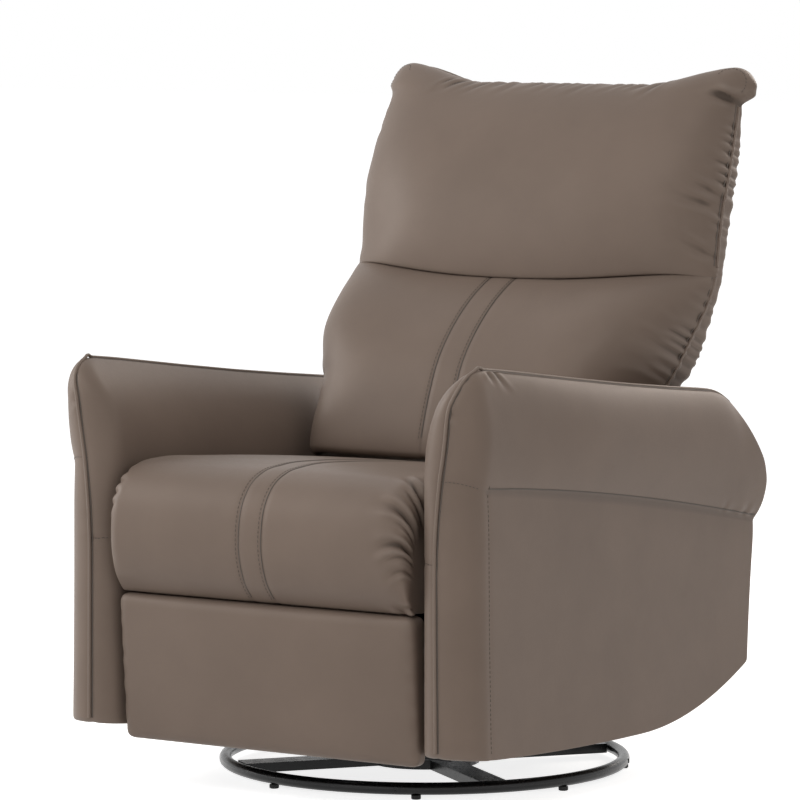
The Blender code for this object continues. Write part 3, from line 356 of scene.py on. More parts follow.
class NodeSheet:
    """Wires one shader tree by short calls."""

    def __init__(self, tree: bpy.types.NodeTree) -> None:
        """Keeps the tree that the calls add to."""
        self.tree = tree

    def add(self, kind: str, feeds: dict[str | int, Any] | None = None, **settings: Any) -> bpy.types.Node:
        """Adds a node.

        Args:
            kind: The node's type name.
            feeds: Values or sockets for its inputs.
            settings: The node's own properties.

        Returns:
            The new node.
        """
        node = self.tree.nodes.new(kind)
        for key, value in settings.items():
            setattr(node, key, value)
        self.feed(node, feeds or {})
        return node

    def feed(self, node: bpy.types.Node, feeds: dict[str | int, Any]) -> None:
        """Sets or wires some of a node's inputs.

        Args:
            node: The node.
            feeds: Values or sockets for its inputs.
        """
        for key, value in feeds.items():
            if isinstance(value, bpy.types.NodeSocket):
                self.tree.links.new(value, node.inputs[key])
            else:
                node.inputs[key].default_value = value

    def where(self) -> bpy.types.NodeSocket:
        """Adds the object's own coordinates and returns them."""
        return self.add("ShaderNodeTexCoord").outputs["Object"]

    def math(self, operation: str, first: Any, second: Any = 0.0) -> bpy.types.NodeSocket:
        """Adds a Math node and returns its value."""
        return self.add("ShaderNodeMath", {0: first, 1: second}, operation=operation).outputs[0]

    def span(self, value: Any, low: float, high: float, to_low: float, to_high: float) -> bpy.types.NodeSocket:
        """Adds a clamped Map Range node and returns its value."""
        feeds = {"Value": value, "From Min": low, "From Max": high, "To Min": to_low, "To Max": to_high}
        return self.add("ShaderNodeMapRange", feeds).outputs[0]

    def mix(self, share: Any, first: Any, second: Any) -> bpy.types.NodeSocket:
        """Adds a colour Mix node and returns its colour."""
        return self.add("ShaderNodeMix", {0: share, 6: first, 7: second}, data_type="RGBA").outputs[2]

    def noise(self, where: Any, scale: Any, detail: float = 3.0, rough: float = 0.5) -> bpy.types.NodeSocket:
        """Adds a Noise Texture and returns its value."""
        feeds = {"Vector": where, "Scale": scale, "Detail": detail, "Roughness": rough}
        return self.add("ShaderNodeTexNoise", feeds).outputs[0]

    def stretched(self, where: Any, scale: Point) -> bpy.types.NodeSocket:
        """Scales coordinates by a different number on each axis."""
        return self.add("ShaderNodeMapping", {"Vector": where, "Scale": scale}).outputs[0]

    def bump(self, strength: float, distance: float, height: Any) -> bpy.types.NodeSocket:
        """Adds a Bump node and returns its normal."""
        feeds = {"Strength": strength, "Distance": distance, "Height": height}
        return self.add("ShaderNodeBump", feeds).outputs[0]

    def by_ray(self, lit: float, seen: float) -> bpy.types.NodeSocket:
        """Gives one value to rays that light the scene and another to rays that end in the picture.

        Args:
            lit: Value for the rays that only light the scene.
            seen: Value for camera, glossy and transmission rays.

        Returns:
            The value.
        """
        path = self.add("ShaderNodeLightPath").outputs
        straight = self.math("MAXIMUM", path["Is Camera Ray"], path["Is Transmission Ray"])
        return self.span(self.math("MAXIMUM", straight, path["Is Glossy Ray"]), 0.0, 1.0, lit, seen)


def rgba(colour: Colour, level: float = 1.0) -> tuple[float, float, float, float]:
    """Colour with full alpha, made lighter or darker by a factor."""
    return (*(level * part for part in colour), 1.0)


def node_group(name: str, inputs: dict[str, float], outputs: Sequence[str],
               wire: Callable[[NodeSheet, bpy.types.Node], Sequence[Any]]) -> bpy.types.NodeTree:
    """Makes a shader node group, or gives the one already made.

    Args:
        name: The group's name.
        inputs: Names and standard values of its inputs.
        outputs: Names of its outputs.
        wire: Adds the nodes and gives one socket for each output.

    Returns:
        The group's tree.
    """
    if name in bpy.data.node_groups:
        return bpy.data.node_groups[name]
    tree = bpy.data.node_groups.new(name, "ShaderNodeTree")
    for key, value in inputs.items():
        tree.interface.new_socket(key, in_out="INPUT", socket_type="NodeSocketFloat").default_value = value
    for key in outputs:
        tree.interface.new_socket(key, in_out="OUTPUT", socket_type="NodeSocketFloat")
    sheet = NodeSheet(tree)
    start = sheet.add("NodeGroupInput")
    sheet.add("NodeGroupOutput", dict(zip(outputs, wire(sheet, start))))
    return tree


def grain_wiring(sheet: NodeSheet, start: bpy.types.Node) -> Sequence[Any]:
    """Wires the pebbled grain and the slow change of tone of a coated fabric.

    Args:
        sheet: The group's tree.
        start: The node of its inputs.

    Returns:
        One socket for each output.
    """
    where = sheet.where()
    size = start.outputs["Cells"]
    pebbles = sheet.add("ShaderNodeTexVoronoi", {"Vector": where, "Scale": size}, feature="SMOOTH_F1")
    lows = sheet.noise(where, sheet.math("MULTIPLY", size, 0.12), 3.0)
    height = sheet.math("SUBTRACT", sheet.math("MULTIPLY", lows, 0.8), pebbles.outputs["Distance"])
    return height, sheet.noise(where, 7.0, 4.0, 0.55)


def wear_wiring(sheet: NodeSheet, start: bpy.types.Node) -> Sequence[Any]:
    """Wires mottling, scuffs and settled dust for hard surfaces.

    Args:
        sheet: The group's tree.
        start: The node of its inputs.

    Returns:
        One socket for each output.
    """
    where = sheet.where()
    facing = sheet.add("ShaderNodeNewGeometry").outputs["Normal"]
    mottle = sheet.noise(where, start.outputs["Scale"], 4.0, 0.6)
    fine = sheet.noise(where, sheet.math("MULTIPLY", start.outputs["Scale"], 9.0), 2.0)
    streaks = sheet.noise(sheet.stretched(where, (40.0, 260.0, 90.0)), 1.0, 5.0, 0.7)
    scuff = sheet.span(streaks, 0.62, 0.72, 0.0, 1.0)
    upward = sheet.add("ShaderNodeSeparateXYZ", {0: facing}).outputs["Z"]
    flat = sheet.span(upward, 0.35, 0.95, 0.0, 1.0)
    dust = sheet.math("MULTIPLY", flat, sheet.span(sheet.noise(where, 55.0, 5.0, 0.65), 0.4, 0.75, 0.0, 1.0))
    return mottle, fine, scuff, dust


def new_material(name: str, colour: Colour) -> tuple[bpy.types.Material, NodeSheet, bpy.types.Node]:
    """Starts a node material.

    Args:
        name: The material's name.
        colour: Colour for the plain viewport.

    Returns:
        The material, its sheet and its Principled shader.
    """
    material = bpy.data.materials.new(name)
    material.use_nodes = True
    material.diffuse_color = rgba(colour)
    return material, NodeSheet(material.node_tree), material.node_tree.nodes["Principled BSDF"]


@dataclass(frozen=True)
class CoatedFabric:
    """Satin coated fabric with a fine pebbled grain, with painted shade darkening its creases and rubbed wear
    lightening its ridges.
    """

    name: str = "taupe_coated_fabric_cover"
    colour: Colour = (0.176, 0.132, 0.106)
    painted_crease_shade: Colour = (0.045, 0.033, 0.026)
    rubbed: Colour = (0.225, 0.180, 0.150)
    cells: float = 1250.0
    tones: tuple[float, float] = (0.94, 1.07)
    roughness: tuple[float, float] = (0.52, 0.40)
    specular: float = 0.24
    sheen: Colour = (1.0, 0.88, 0.78)
    bump: float = 0.16
    grain_height: float = 0.0005

    def material(self) -> bpy.types.Material:
        """Builds the finish's material.

        Returns:
            The material.
        """
        material, sheet, shader = new_material(self.name, self.colour)
        group = node_group("fabric_grain", {"Cells": 1000.0}, ("Height", "Tone"), grain_wiring)
        grain = sheet.add("ShaderNodeGroup", {"Cells": self.cells}, node_tree=group).outputs
        crease = sheet.add("ShaderNodeAttribute", attribute_name="crease").outputs["Fac"]
        tone = sheet.span(grain["Tone"], 0.3, 0.7, 0.0, 1.0)
        plain = sheet.mix(tone, *(rgba(self.colour, level) for level in self.tones))
        worn = sheet.mix(sheet.span(crease, -0.15, -0.9, 0.0, 0.55), plain, rgba(self.rubbed))
        # painted shade: hollows and tucks of the surface are darkened towards a near-black brown
        full = sheet.mix(sheet.span(crease, 0.08, 0.8, 0.0, 0.85), worn, rgba(self.painted_crease_shade))
        sheet.feed(shader, {"Base Color": full, "Specular IOR Level": self.specular, "Specular Tint": rgba(self.sheen),
                            "Roughness": sheet.span(grain["Height"], -0.6, 0.4, *self.roughness),
                            "Normal": sheet.bump(self.bump, self.grain_height, grain["Height"])})
        return material


@dataclass(frozen=True)
class HardFinish:
    """Painted, plated or moulded surface with mottling, scuffs and dust."""

    name: str
    colour: Colour
    scuffed: Colour
    roughness: tuple[float, float]
    metallic: float = 0.0
    scale: float = 60.0
    bump: float = 0.1
    scuffs: float = 0.4
    dust: float = 0.25
    specular: float = 0.5
    dusty: Colour = (0.30, 0.28, 0.25)
    dulling: float = 0.35

    def material(self) -> bpy.types.Material:
        """Builds the finish's material.

        Returns:
            The material.
        """
        material, sheet, shader = new_material(self.name, self.colour)
        outputs = ("Mottle", "Fine", "Scuff", "Dust")
        group = node_group("hard_wear", {"Scale": 60.0}, outputs, wear_wiring)
        wear = sheet.add("ShaderNodeGroup", {"Scale": self.scale}, node_tree=group).outputs
        tone = sheet.span(wear["Mottle"], 0.3, 0.7, 0.0, 1.0)
        plain = sheet.mix(tone, rgba(self.colour, 0.85), rgba(self.colour))
        scuff = sheet.math("MULTIPLY", wear["Scuff"], self.scuffs)
        marked = sheet.mix(scuff, plain, rgba(self.scuffed))
        dust = sheet.math("MULTIPLY", wear["Dust"], self.dust)
        base = sheet.span(wear["Mottle"], 0.3, 0.7, *self.roughness)
        rough = sheet.math("ADD", base, sheet.math("MULTIPLY", sheet.math("ADD", dust, scuff), self.dulling))
        sheet.feed(shader, {"Base Color": sheet.mix(dust, marked, rgba(self.dusty)), "Roughness": rough,
                            "Metallic": self.metallic, "Specular IOR Level": self.specular,
                            "Normal": sheet.bump(self.bump, 0.0004, wear["Fine"])})
        return material


@dataclass(frozen=True)
class FrameTimber:
    """Plain sawn timber of the inner frame."""

    name: str = "frame_timber_sawn"
    light: Colour = (0.56, 0.40, 0.24)
    dark: Colour = (0.36, 0.22, 0.115)

    def material(self) -> bpy.types.Material:
        """Builds the finish's material.

        Returns:
            The material.
        """
        material, sheet, shader = new_material(self.name, self.light)
        where = sheet.where()
        grain = sheet.stretched(where, (6.0, 6.0, 60.0))
        rings = sheet.noise(grain, 2.2, 4.0, 0.55)
        fibre = sheet.noise(sheet.stretched(where, (25.0, 25.0, 900.0)), 1.0, 4.0, 0.7)
        share = sheet.math("ADD", sheet.math("MULTIPLY", rings, 0.7), sheet.math("MULTIPLY", fibre, 0.3))
        colour = sheet.mix(sheet.span(share, 0.35, 0.65, 0.0, 1.0), rgba(self.dark), rgba(self.light))
        sheet.feed(shader, {"Base Color": colour, "Roughness": sheet.span(fibre, 0.3, 0.7, 0.62, 0.8),
                            "Normal": sheet.bump(0.25, 0.0006, fibre)})
        return material


@dataclass(frozen=True)
class Webbing:
    """Woven elastic webbing under the seat."""

    name: str = "elastic_webbing_woven"
    colour: Colour = (0.06, 0.06, 0.065)
    pale: Colour = (0.20, 0.19, 0.18)
    ribs: float = 420.0

    def material(self) -> bpy.types.Material:
        """Builds the finish's material.

        Returns:
            The material.
        """
        material, sheet, shader = new_material(self.name, self.colour)
        where = sheet.where()
        warp = sheet.add("ShaderNodeTexWave", {"Vector": where, "Scale": self.ribs / 6.3}, bands_direction="X")
        weft = sheet.add("ShaderNodeTexWave", {"Vector": where, "Scale": self.ribs / 3.1}, bands_direction="Y")
        weave = sheet.math("MULTIPLY", warp.outputs["Fac"], weft.outputs["Fac"])
        colour = sheet.mix(weave, rgba(self.colour), rgba(self.pale))
        sheet.feed(shader, {"Base Color": colour, "Roughness": sheet.span(weave, 0.0, 1.0, 0.9, 0.7),
                            "Normal": sheet.bump(0.4, 0.0006, weave)})
        return material


@dataclass(frozen=True)
class SewingThread:
    """Twisted thread of the visible stitches; the same dark colour also makes the cords of painted shade along the
    seams.
    """

    name: str = "taupe_sewing_thread"
    colour: Colour = (0.055, 0.042, 0.034)
    pale: Colour = (0.100, 0.080, 0.065)

    def material(self) -> bpy.types.Material:
        """Builds the finish's material.

        Returns:
            The material.
        """
        material, sheet, shader = new_material(self.name, self.colour)
        twist = sheet.noise(sheet.where(), 2400.0, 1.0)
        colour = sheet.mix(sheet.span(twist, 0.35, 0.65, 0.0, 1.0), rgba(self.colour), rgba(self.pale))
        sheet.feed(shader, {"Base Color": colour, "Roughness": sheet.span(twist, 0.3, 0.7, 0.5, 0.75)})
        return material


class Palette:
    """All finishes of the chair, each built once."""

    def __init__(self) -> None:
        """Builds the materials."""
        self.fabric = CoatedFabric().material()
        # The thread also colours the dark cords of painted seam shade.
        self.thread = SewingThread().material()
        self.by_slot: dict[Slot, bpy.types.Material] = {
            Slot.FABRIC: self.fabric,
            Slot.GLOSS_STEEL: HardFinish("gloss_black_enamel", (0.005, 0.005, 0.006), (0.04, 0.04, 0.04),
                                         (0.22, 0.30), scuffs=0.15, dust=0.04, specular=0.35).material(),
            Slot.PAINTED_STEEL: HardFinish("satin_black_paint", (0.012, 0.012, 0.013), (0.10, 0.10, 0.10),
                                           (0.34, 0.46), scale=80.0, bump=0.2, dust=0.12, specular=0.3).material(),
            Slot.ZINC: HardFinish("zinc_plate", (0.56, 0.57, 0.58), (0.74, 0.74, 0.73), (0.24, 0.38),
                                  metallic=1.0, scale=120.0, dust=0.1).material(),
            Slot.TIMBER: FrameTimber().material(),
            Slot.PLASTIC: HardFinish("moulded_black_plastic", (0.016, 0.016, 0.017), (0.05, 0.05, 0.05),
                                     (0.42, 0.54), scale=300.0, bump=0.3, scuffs=0.2, dust=0.15).material(),
            Slot.RUBBER: HardFinish("moulded_black_rubber", (0.013, 0.013, 0.013), (0.04, 0.04, 0.04),
                                    (0.66, 0.8), scale=220.0, bump=0.3, dust=0.3).material(),
            Slot.WEBBING: Webbing().material(),
        }


# ---------------------------------------------------------------- padded pieces


@dataclass(frozen=True)
class Fold:
    """A tuck that runs from a seam into a padded face."""

    at: float
    reach: float
    width: float
    depth: float
    slant: float = 0.0


@dataclass(frozen=True)
class Gathers:
    """Uneven row of tucks along a seam, the same on each run.

    start and end are places along the seam. spacing, reach, width, depth and lean are means, and slant is the most that
    a tuck leans away from the mean, either way.
    """

    seed: int
    start: float
    end: float
    spacing: float
    reach: float
    width: float
    depth: float
    slant: float = 0.3
    lean: float = 0.0

    def folds(self) -> list[Fold]:
        """Draws the row.

        Returns:
            The tucks.
        """
        draw = np.random.default_rng(self.seed)
        folds, at = [], self.start
        while at < self.end:
            folds.append(Fold(at, self.reach * draw.uniform(0.5, 1.3), self.width * draw.uniform(0.7, 1.3),
                              self.depth * draw.uniform(0.35, 1.15),
                              self.lean + draw.uniform(-self.slant, self.slant)))
            at += self.spacing * draw.uniform(0.6, 1.5)
        return folds


@dataclass(frozen=True)
class Groove:
    """The hollow that a seam pulls into a padded face."""

    depth: float
    width: float

    def cut(self, aside: Array) -> Array:
        """Depth at a distance to the side of the seam."""
        return self.depth * bell(aside / self.width)


def tucked(along: Array, inward: Array, folds: Sequence[Fold], onset: float = 0.35) -> Array:
    """Depth that tucks give a surface, below 0 on their raised lips.

    Args:
        along: Place along the seam.
        inward: Distance from the seam into the face.
        folds: The tucks.
        onset: Share of its depth that a tuck has right at the seam.

    Returns:
        The depth at each place.
    """
    total, inward = np.zeros_like(along), np.maximum(inward, 0.0)
    for fold in folds:
        reach = np.clip(inward / fold.reach, 0.0, 1.0)
        across = (along - fold.at - fold.slant * inward) / (fold.width * (1.0 + 0.8 * reach))
        fade = (1.0 - reach) ** 2 * (1.0 + 2.0 * reach) * blend(onset, 1.0, smooth(0.0, 0.2, reach))
        total += fold.depth * fade * (bell(across) - 0.6 * bell((np.abs(across) - 1.9) / 0.9))
    return total


@dataclass(frozen=True)
class Corner:
    """An upright edge of a padded block that is rounded more than the rest."""

    axes: tuple[int, int]
    signs: tuple[int, int]
    radius: float


@dataclass(frozen=True)
class Swell:
    """How the cloth simulation fills a padded piece."""

    cap: float
    pressure: float = 4.0
    slack: float = -0.004
    mass: float = 0.35
    stretch: float = 12.0
    bend: float = 6.0
    quality: int = 6
    frames: int = 20
    easing: int = 40

    def run(self, piece: bpy.types.Object, free: Array) -> None:
        """Swells a piece and leaves the result in its mesh.

        Args:
            piece: The padded piece.
            free: True for each vertex that isn't held by a seam.
        """
        before = read_places(piece.data)
        held = piece.vertex_groups.new(name="held_by_seams")
        held.add([int(k) for k in np.nonzero(~free)[0]], 1.0, "REPLACE")
        cloth = piece.modifiers.new("filling", "CLOTH")
        values = cloth.settings
        values.quality = self.quality
        values.mass = self.mass
        values.tension_stiffness = values.compression_stiffness = self.stretch
        values.shear_stiffness = values.bending_stiffness = self.bend
        values.use_pressure = True
        values.uniform_pressure_force = self.pressure
        values.vertex_group_mass = held.name
        values.shrink_min = -self.slack
        values.effector_weights.gravity = 0.0
        cloth.collision_settings.use_collision = False
        cloth.point_cache.frame_start = 1
        cloth.point_cache.frame_end = self.frames
        for frame in range(1, self.frames + 1):
            bpy.context.scene.frame_set(frame)
        apply_modifier(piece, "filling")
        bpy.context.scene.frame_set(1)
        piece.vertex_groups.clear()
        moved = read_places(piece.data) - before
        ends = edge_ends(piece.data)
        for _ in range(self.easing):
            moved = 0.5 * moved + 0.5 * np.stack([spread(moved[:, axis], ends) for axis in range(3)], axis=1)
        length = np.linalg.norm(moved, axis=1)
        limit = self.cap * np.tanh(length / self.cap) / np.maximum(length, 1e-9)
        write_places(piece.data, before + moved * limit[:, None])


@dataclass
class PaddedForm:
    """A closed padded piece: a lattice of faces laid in place by a form, swelled, then sewn.

    The lattice is a block whose points run from -1 to 1 on each axis.
    """

    name: str
    half: Point
    edge: float
    cuts: tuple[int, int, int]
    form: Callable[[Array], Array]
    relief: Callable[[Array, Array], Array] | None = None
    corners: Sequence[Corner] = ()
    swell: Swell | None = None
    free: Callable[[Array], Array] | None = None

    def lattice(self) -> bpy.types.Object:
        """Models the block and subdivides it along each axis.

        Returns:
            The block, two units wide.
        """
        deselect_all()
        bpy.ops.mesh.primitive_cube_add(size=2.0)
        block = bpy.context.active_object
        block.name = block.data.name = self.name
        bpy.context.tool_settings.mesh_select_mode = (False, True, False)
        bpy.ops.object.mode_set(mode="EDIT")
        for axis, count in enumerate(self.cuts):
            bpy.ops.mesh.select_all(action="DESELECT")
            grid = bmesh.from_edit_mesh(block.data)
            for edge in grid.edges:
                run = edge.verts[1].co - edge.verts[0].co
                edge.select_set(abs(run[axis]) > 0.5 * run.length)
            bmesh.update_edit_mesh(block.data)
            bpy.ops.mesh.subdivide(number_cuts=count)
        bpy.ops.object.mode_set(mode="OBJECT")
        return block

    def rounded(self, unit: Array) -> Array:
        """Rounds the block's edges.

        Args:
            unit: Points of the block.

        Returns:
            The points with the edges rounded.
        """
        half = np.array(self.half)
        place = unit * half
        core = np.clip(place, self.edge - half, half - self.edge)
        out = place - core
        length = np.maximum(np.linalg.norm(out, axis=1), 1e-9)[:, None]
        place = np.where(length > 1e-8, core + out / length * self.edge, place)
        for corner in self.corners:
            (a, b), (sa, sb), radius = corner.axes, corner.signs, corner.radius
            first = place[:, a] * sa - (half[a] - radius)
            second = place[:, b] * sb - (half[b] - radius)
            inside = (first > 0) & (second > 0)
            scale = np.maximum(first, second)[inside] / np.hypot(first, second)[inside]
            place[inside, a] = (half[a] - radius + first[inside] * scale) * sa
            place[inside, b] = (half[b] - radius + second[inside] * scale) * sb
        return place / half

    def build(self, finish: bpy.types.Material, fill: float) -> bpy.types.Object:
        """Makes the piece.

        Args:
            finish: Its material.
            fill: How tight its filling is, from 0 to 1; not used.

        Returns:
            The finished piece, which rides on no body yet.
        """
        piece = self.lattice()
        mesh = piece.data
        unit = self.rounded(read_places(mesh))
        write_places(mesh, self.form(unit))
        body = bmesh.new()
        body.from_mesh(mesh)
        if body.calc_volume(signed=True) < 0:
            bmesh.ops.reverse_faces(body, faces=body.faces)
            body.to_mesh(mesh)
        body.free()
        mesh.attributes.new("lattice", "FLOAT_VECTOR", "POINT").data.foreach_set("vector", unit.ravel())
        if self.swell:
            self.swell.run(piece, self.free(unit) if self.free else np.ones(len(unit), bool))
        finer = piece.modifiers.new("finer", "SUBSURF")
        finer.levels = finer.render_levels = 1
        apply_modifier(piece, "finer")
        mesh = piece.data
        if self.relief:
            places = read_places(mesh)
            raised = self.relief(rows_of(mesh.attributes["lattice"].data, "vector", 3), places)
            write_places(mesh, places + read_normals(mesh) * raised[:, None])
        mesh.attributes.remove(mesh.attributes["lattice"])
        mark_creases(mesh)
        give_finish(mesh, finish)
        make_active(piece)
        bpy.ops.object.shade_smooth()
        LOG.info("%s: %d faces", piece.name, len(mesh.polygons))
        return piece


# ---------------------------------------------------------------- piping and stitching


def piping(name: str, paths: Sequence[Array], radius: float, finish: bpy.types.Material) -> bpy.types.Object:
    """Sewn piping along paths, as one mesh.

    Args:
        name: The piece's name.
        paths: The middle lines.
        radius: The cord's radius.
        finish: Its material.

    Returns:
        The piping.
    """
    line = bpy.data.curves.new(name, "CURVE")
    line.dimensions = "3D"
    line.bevel_depth = radius
    line.bevel_resolution = 3
    line.use_fill_caps = True
    for path in paths:
        run = line.splines.new("POLY")
        run.points.add(len(path) - 1)
        run.points.foreach_set("co", np.column_stack([path, np.ones(len(path))]).ravel())
    piece = bpy.data.objects.new(name, line)
    bpy.context.scene.collection.objects.link(piece)
    make_active(piece)
    bpy.ops.object.convert(target="MESH")
    piece = bpy.context.active_object
    piece.data.name = name
    give_finish(piece.data, finish)
    mark_creases(piece.data)
    bpy.ops.object.shade_smooth()
    LOG.info("%s: piping, %d faces", name, len(piece.data.polygons))
    return piece


@dataclass(frozen=True)
class Stitching:
    """A row of visible stitches."""

    length: float = 0.0046
    pitch: float = 0.0066
    radius: float = 0.00055
    sunk: float = 0.0001

    def thread_shape(self) -> tuple[Array, list[tuple[int, ...]]]:
        """Models one stitch along X.

        Returns:
            Its vertices and its faces.
        """
        deselect_all()
        bpy.ops.mesh.primitive_uv_sphere_add(segments=6, ring_count=5, radius=1.0)
        model = bpy.context.active_object
        bpy.ops.object.mode_set(mode="EDIT")
        bpy.ops.mesh.select_all(action="SELECT")
        bpy.ops.transform.resize(value=(self.radius, self.radius, self.length / 2))
        bpy.ops.object.mode_set(mode="OBJECT")
        places = read_places(model.data)[:, [2, 0, 1]]
        faces = [tuple(face.vertices) for face in model.data.polygons]
        bpy.data.meshes.remove(model.data)
        return places, faces

    def sew(self, name: str, runs: Sequence[tuple[BVHTree, Array]],
            finish: bpy.types.Material) -> bpy.types.Object:
        """Sews rows of stitches onto surfaces.

        Args:
            name: The piece's name.
            runs: A surface and a line near it, for each row.
            finish: The thread.

        Returns:
            All the stitches as one piece.
        """
        shape, shape_faces = self.thread_shape()
        places, faces = [], []
        for surface, line in runs:
            path = even_path(np.asarray(line, float), self.pitch)
            path, normals = lay_on(surface, path, self.radius * 0.4 - self.sunk)
            along = np.gradient(path, axis=0)
            along /= np.linalg.norm(along, axis=1)[:, None]
            across = np.cross(normals, along)
            across /= np.linalg.norm(across, axis=1)[:, None]
            up = np.cross(along, across)
            for place, x, y, z in zip(path, along, across, up):
                start = len(places) * len(shape)
                places.append(place + shape @ np.stack([x, y, z]))
                faces.extend(tuple(start + k for k in face) for face in shape_faces)
        mesh = bpy.data.meshes.new(name)
        mesh.from_pydata(np.concatenate(places).tolist(), [], faces)
        mesh.materials.append(finish)
        piece = bpy.data.objects.new(name, mesh)
        bpy.context.scene.collection.objects.link(piece)
        make_active(piece)
        bpy.ops.object.shade_smooth()
        LOG.info("%s: %d stitches", name, len(places))
        return piece


STITCH = Stitching()
STITCH_ASIDE = 0.0046
# Radius of the dark thread-coloured cords laid along seams as painted seam shade.
SEAM_SHADE_RADIUS = 0.0009
BAND_GROOVE = Groove(0.0012, 0.0048)


def band_grooves(x: Array, half: float) -> Array:
    """Depth of the two seams beside a sewn centre band."""
    return BAND_GROOVE.cut(x + half) + BAND_GROOVE.cut(x - half)


def settle(piece: bpy.types.Object, body: str, slot: Slot, *nodes: str) -> bpy.types.Object:
    """Lets a piece ride on a body, and hides the CAD nodes that it stands for.

    Args:
        piece: The piece.
        body: The body that it moves with.
        slot: Its material slot; not used.
        nodes: The CAD nodes that it stands for, if any.

    Returns:
        The piece.
    """
    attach(piece, body)
    if nodes:
        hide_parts(*nodes)
    return piece


# ---------------------------------------------------------------- back


@dataclass(frozen=True)
class Crown:
    """How the front of a back cushion stands out.

    Pairs hold a value for the cushion's middle and its sides, or for its foot and further up.
    """

    height: float
    fullest: float
    foot: float
    top_power: tuple[float, float]
    square: tuple[float, float]
    side_power: tuple[float, float]

    def thickness(self, u: Array, share: Array) -> Array:
        """How far the front stands out, from the place across and the share of the way up.

        Args:
            u: Place across, from -1 to 1.
            share: Share of the way up.

        Returns:
            The height above the cushion's edge.
        """
        arch = hump(share ** (math.log(0.5) / math.log(self.fullest)))
        power = blend(*self.top_power, smooth(0.25, 0.85, np.abs(u)))
        rise = np.where(share < self.fullest, self.foot + (1 - self.foot) * arch**0.65, arch**power)
        corner = np.abs(u) ** blend(*self.square, smooth(0.05, 0.30, share))
        side_power = blend(*self.side_power, smooth(0.10, 0.90, share))
        return self.height * rise * np.clip(1 - corner, 0.0, 1.0) ** side_power


# Half width of the back cushions' face from their foot to just above the arms, the same on both sides.
FACE_FOOT = ((0.05, 0.257), (0.12, 0.2575), (0.16, 0.260), (0.20, 0.269), (0.22, 0.276), (0.235, 0.283),
             (0.251, 0.290))


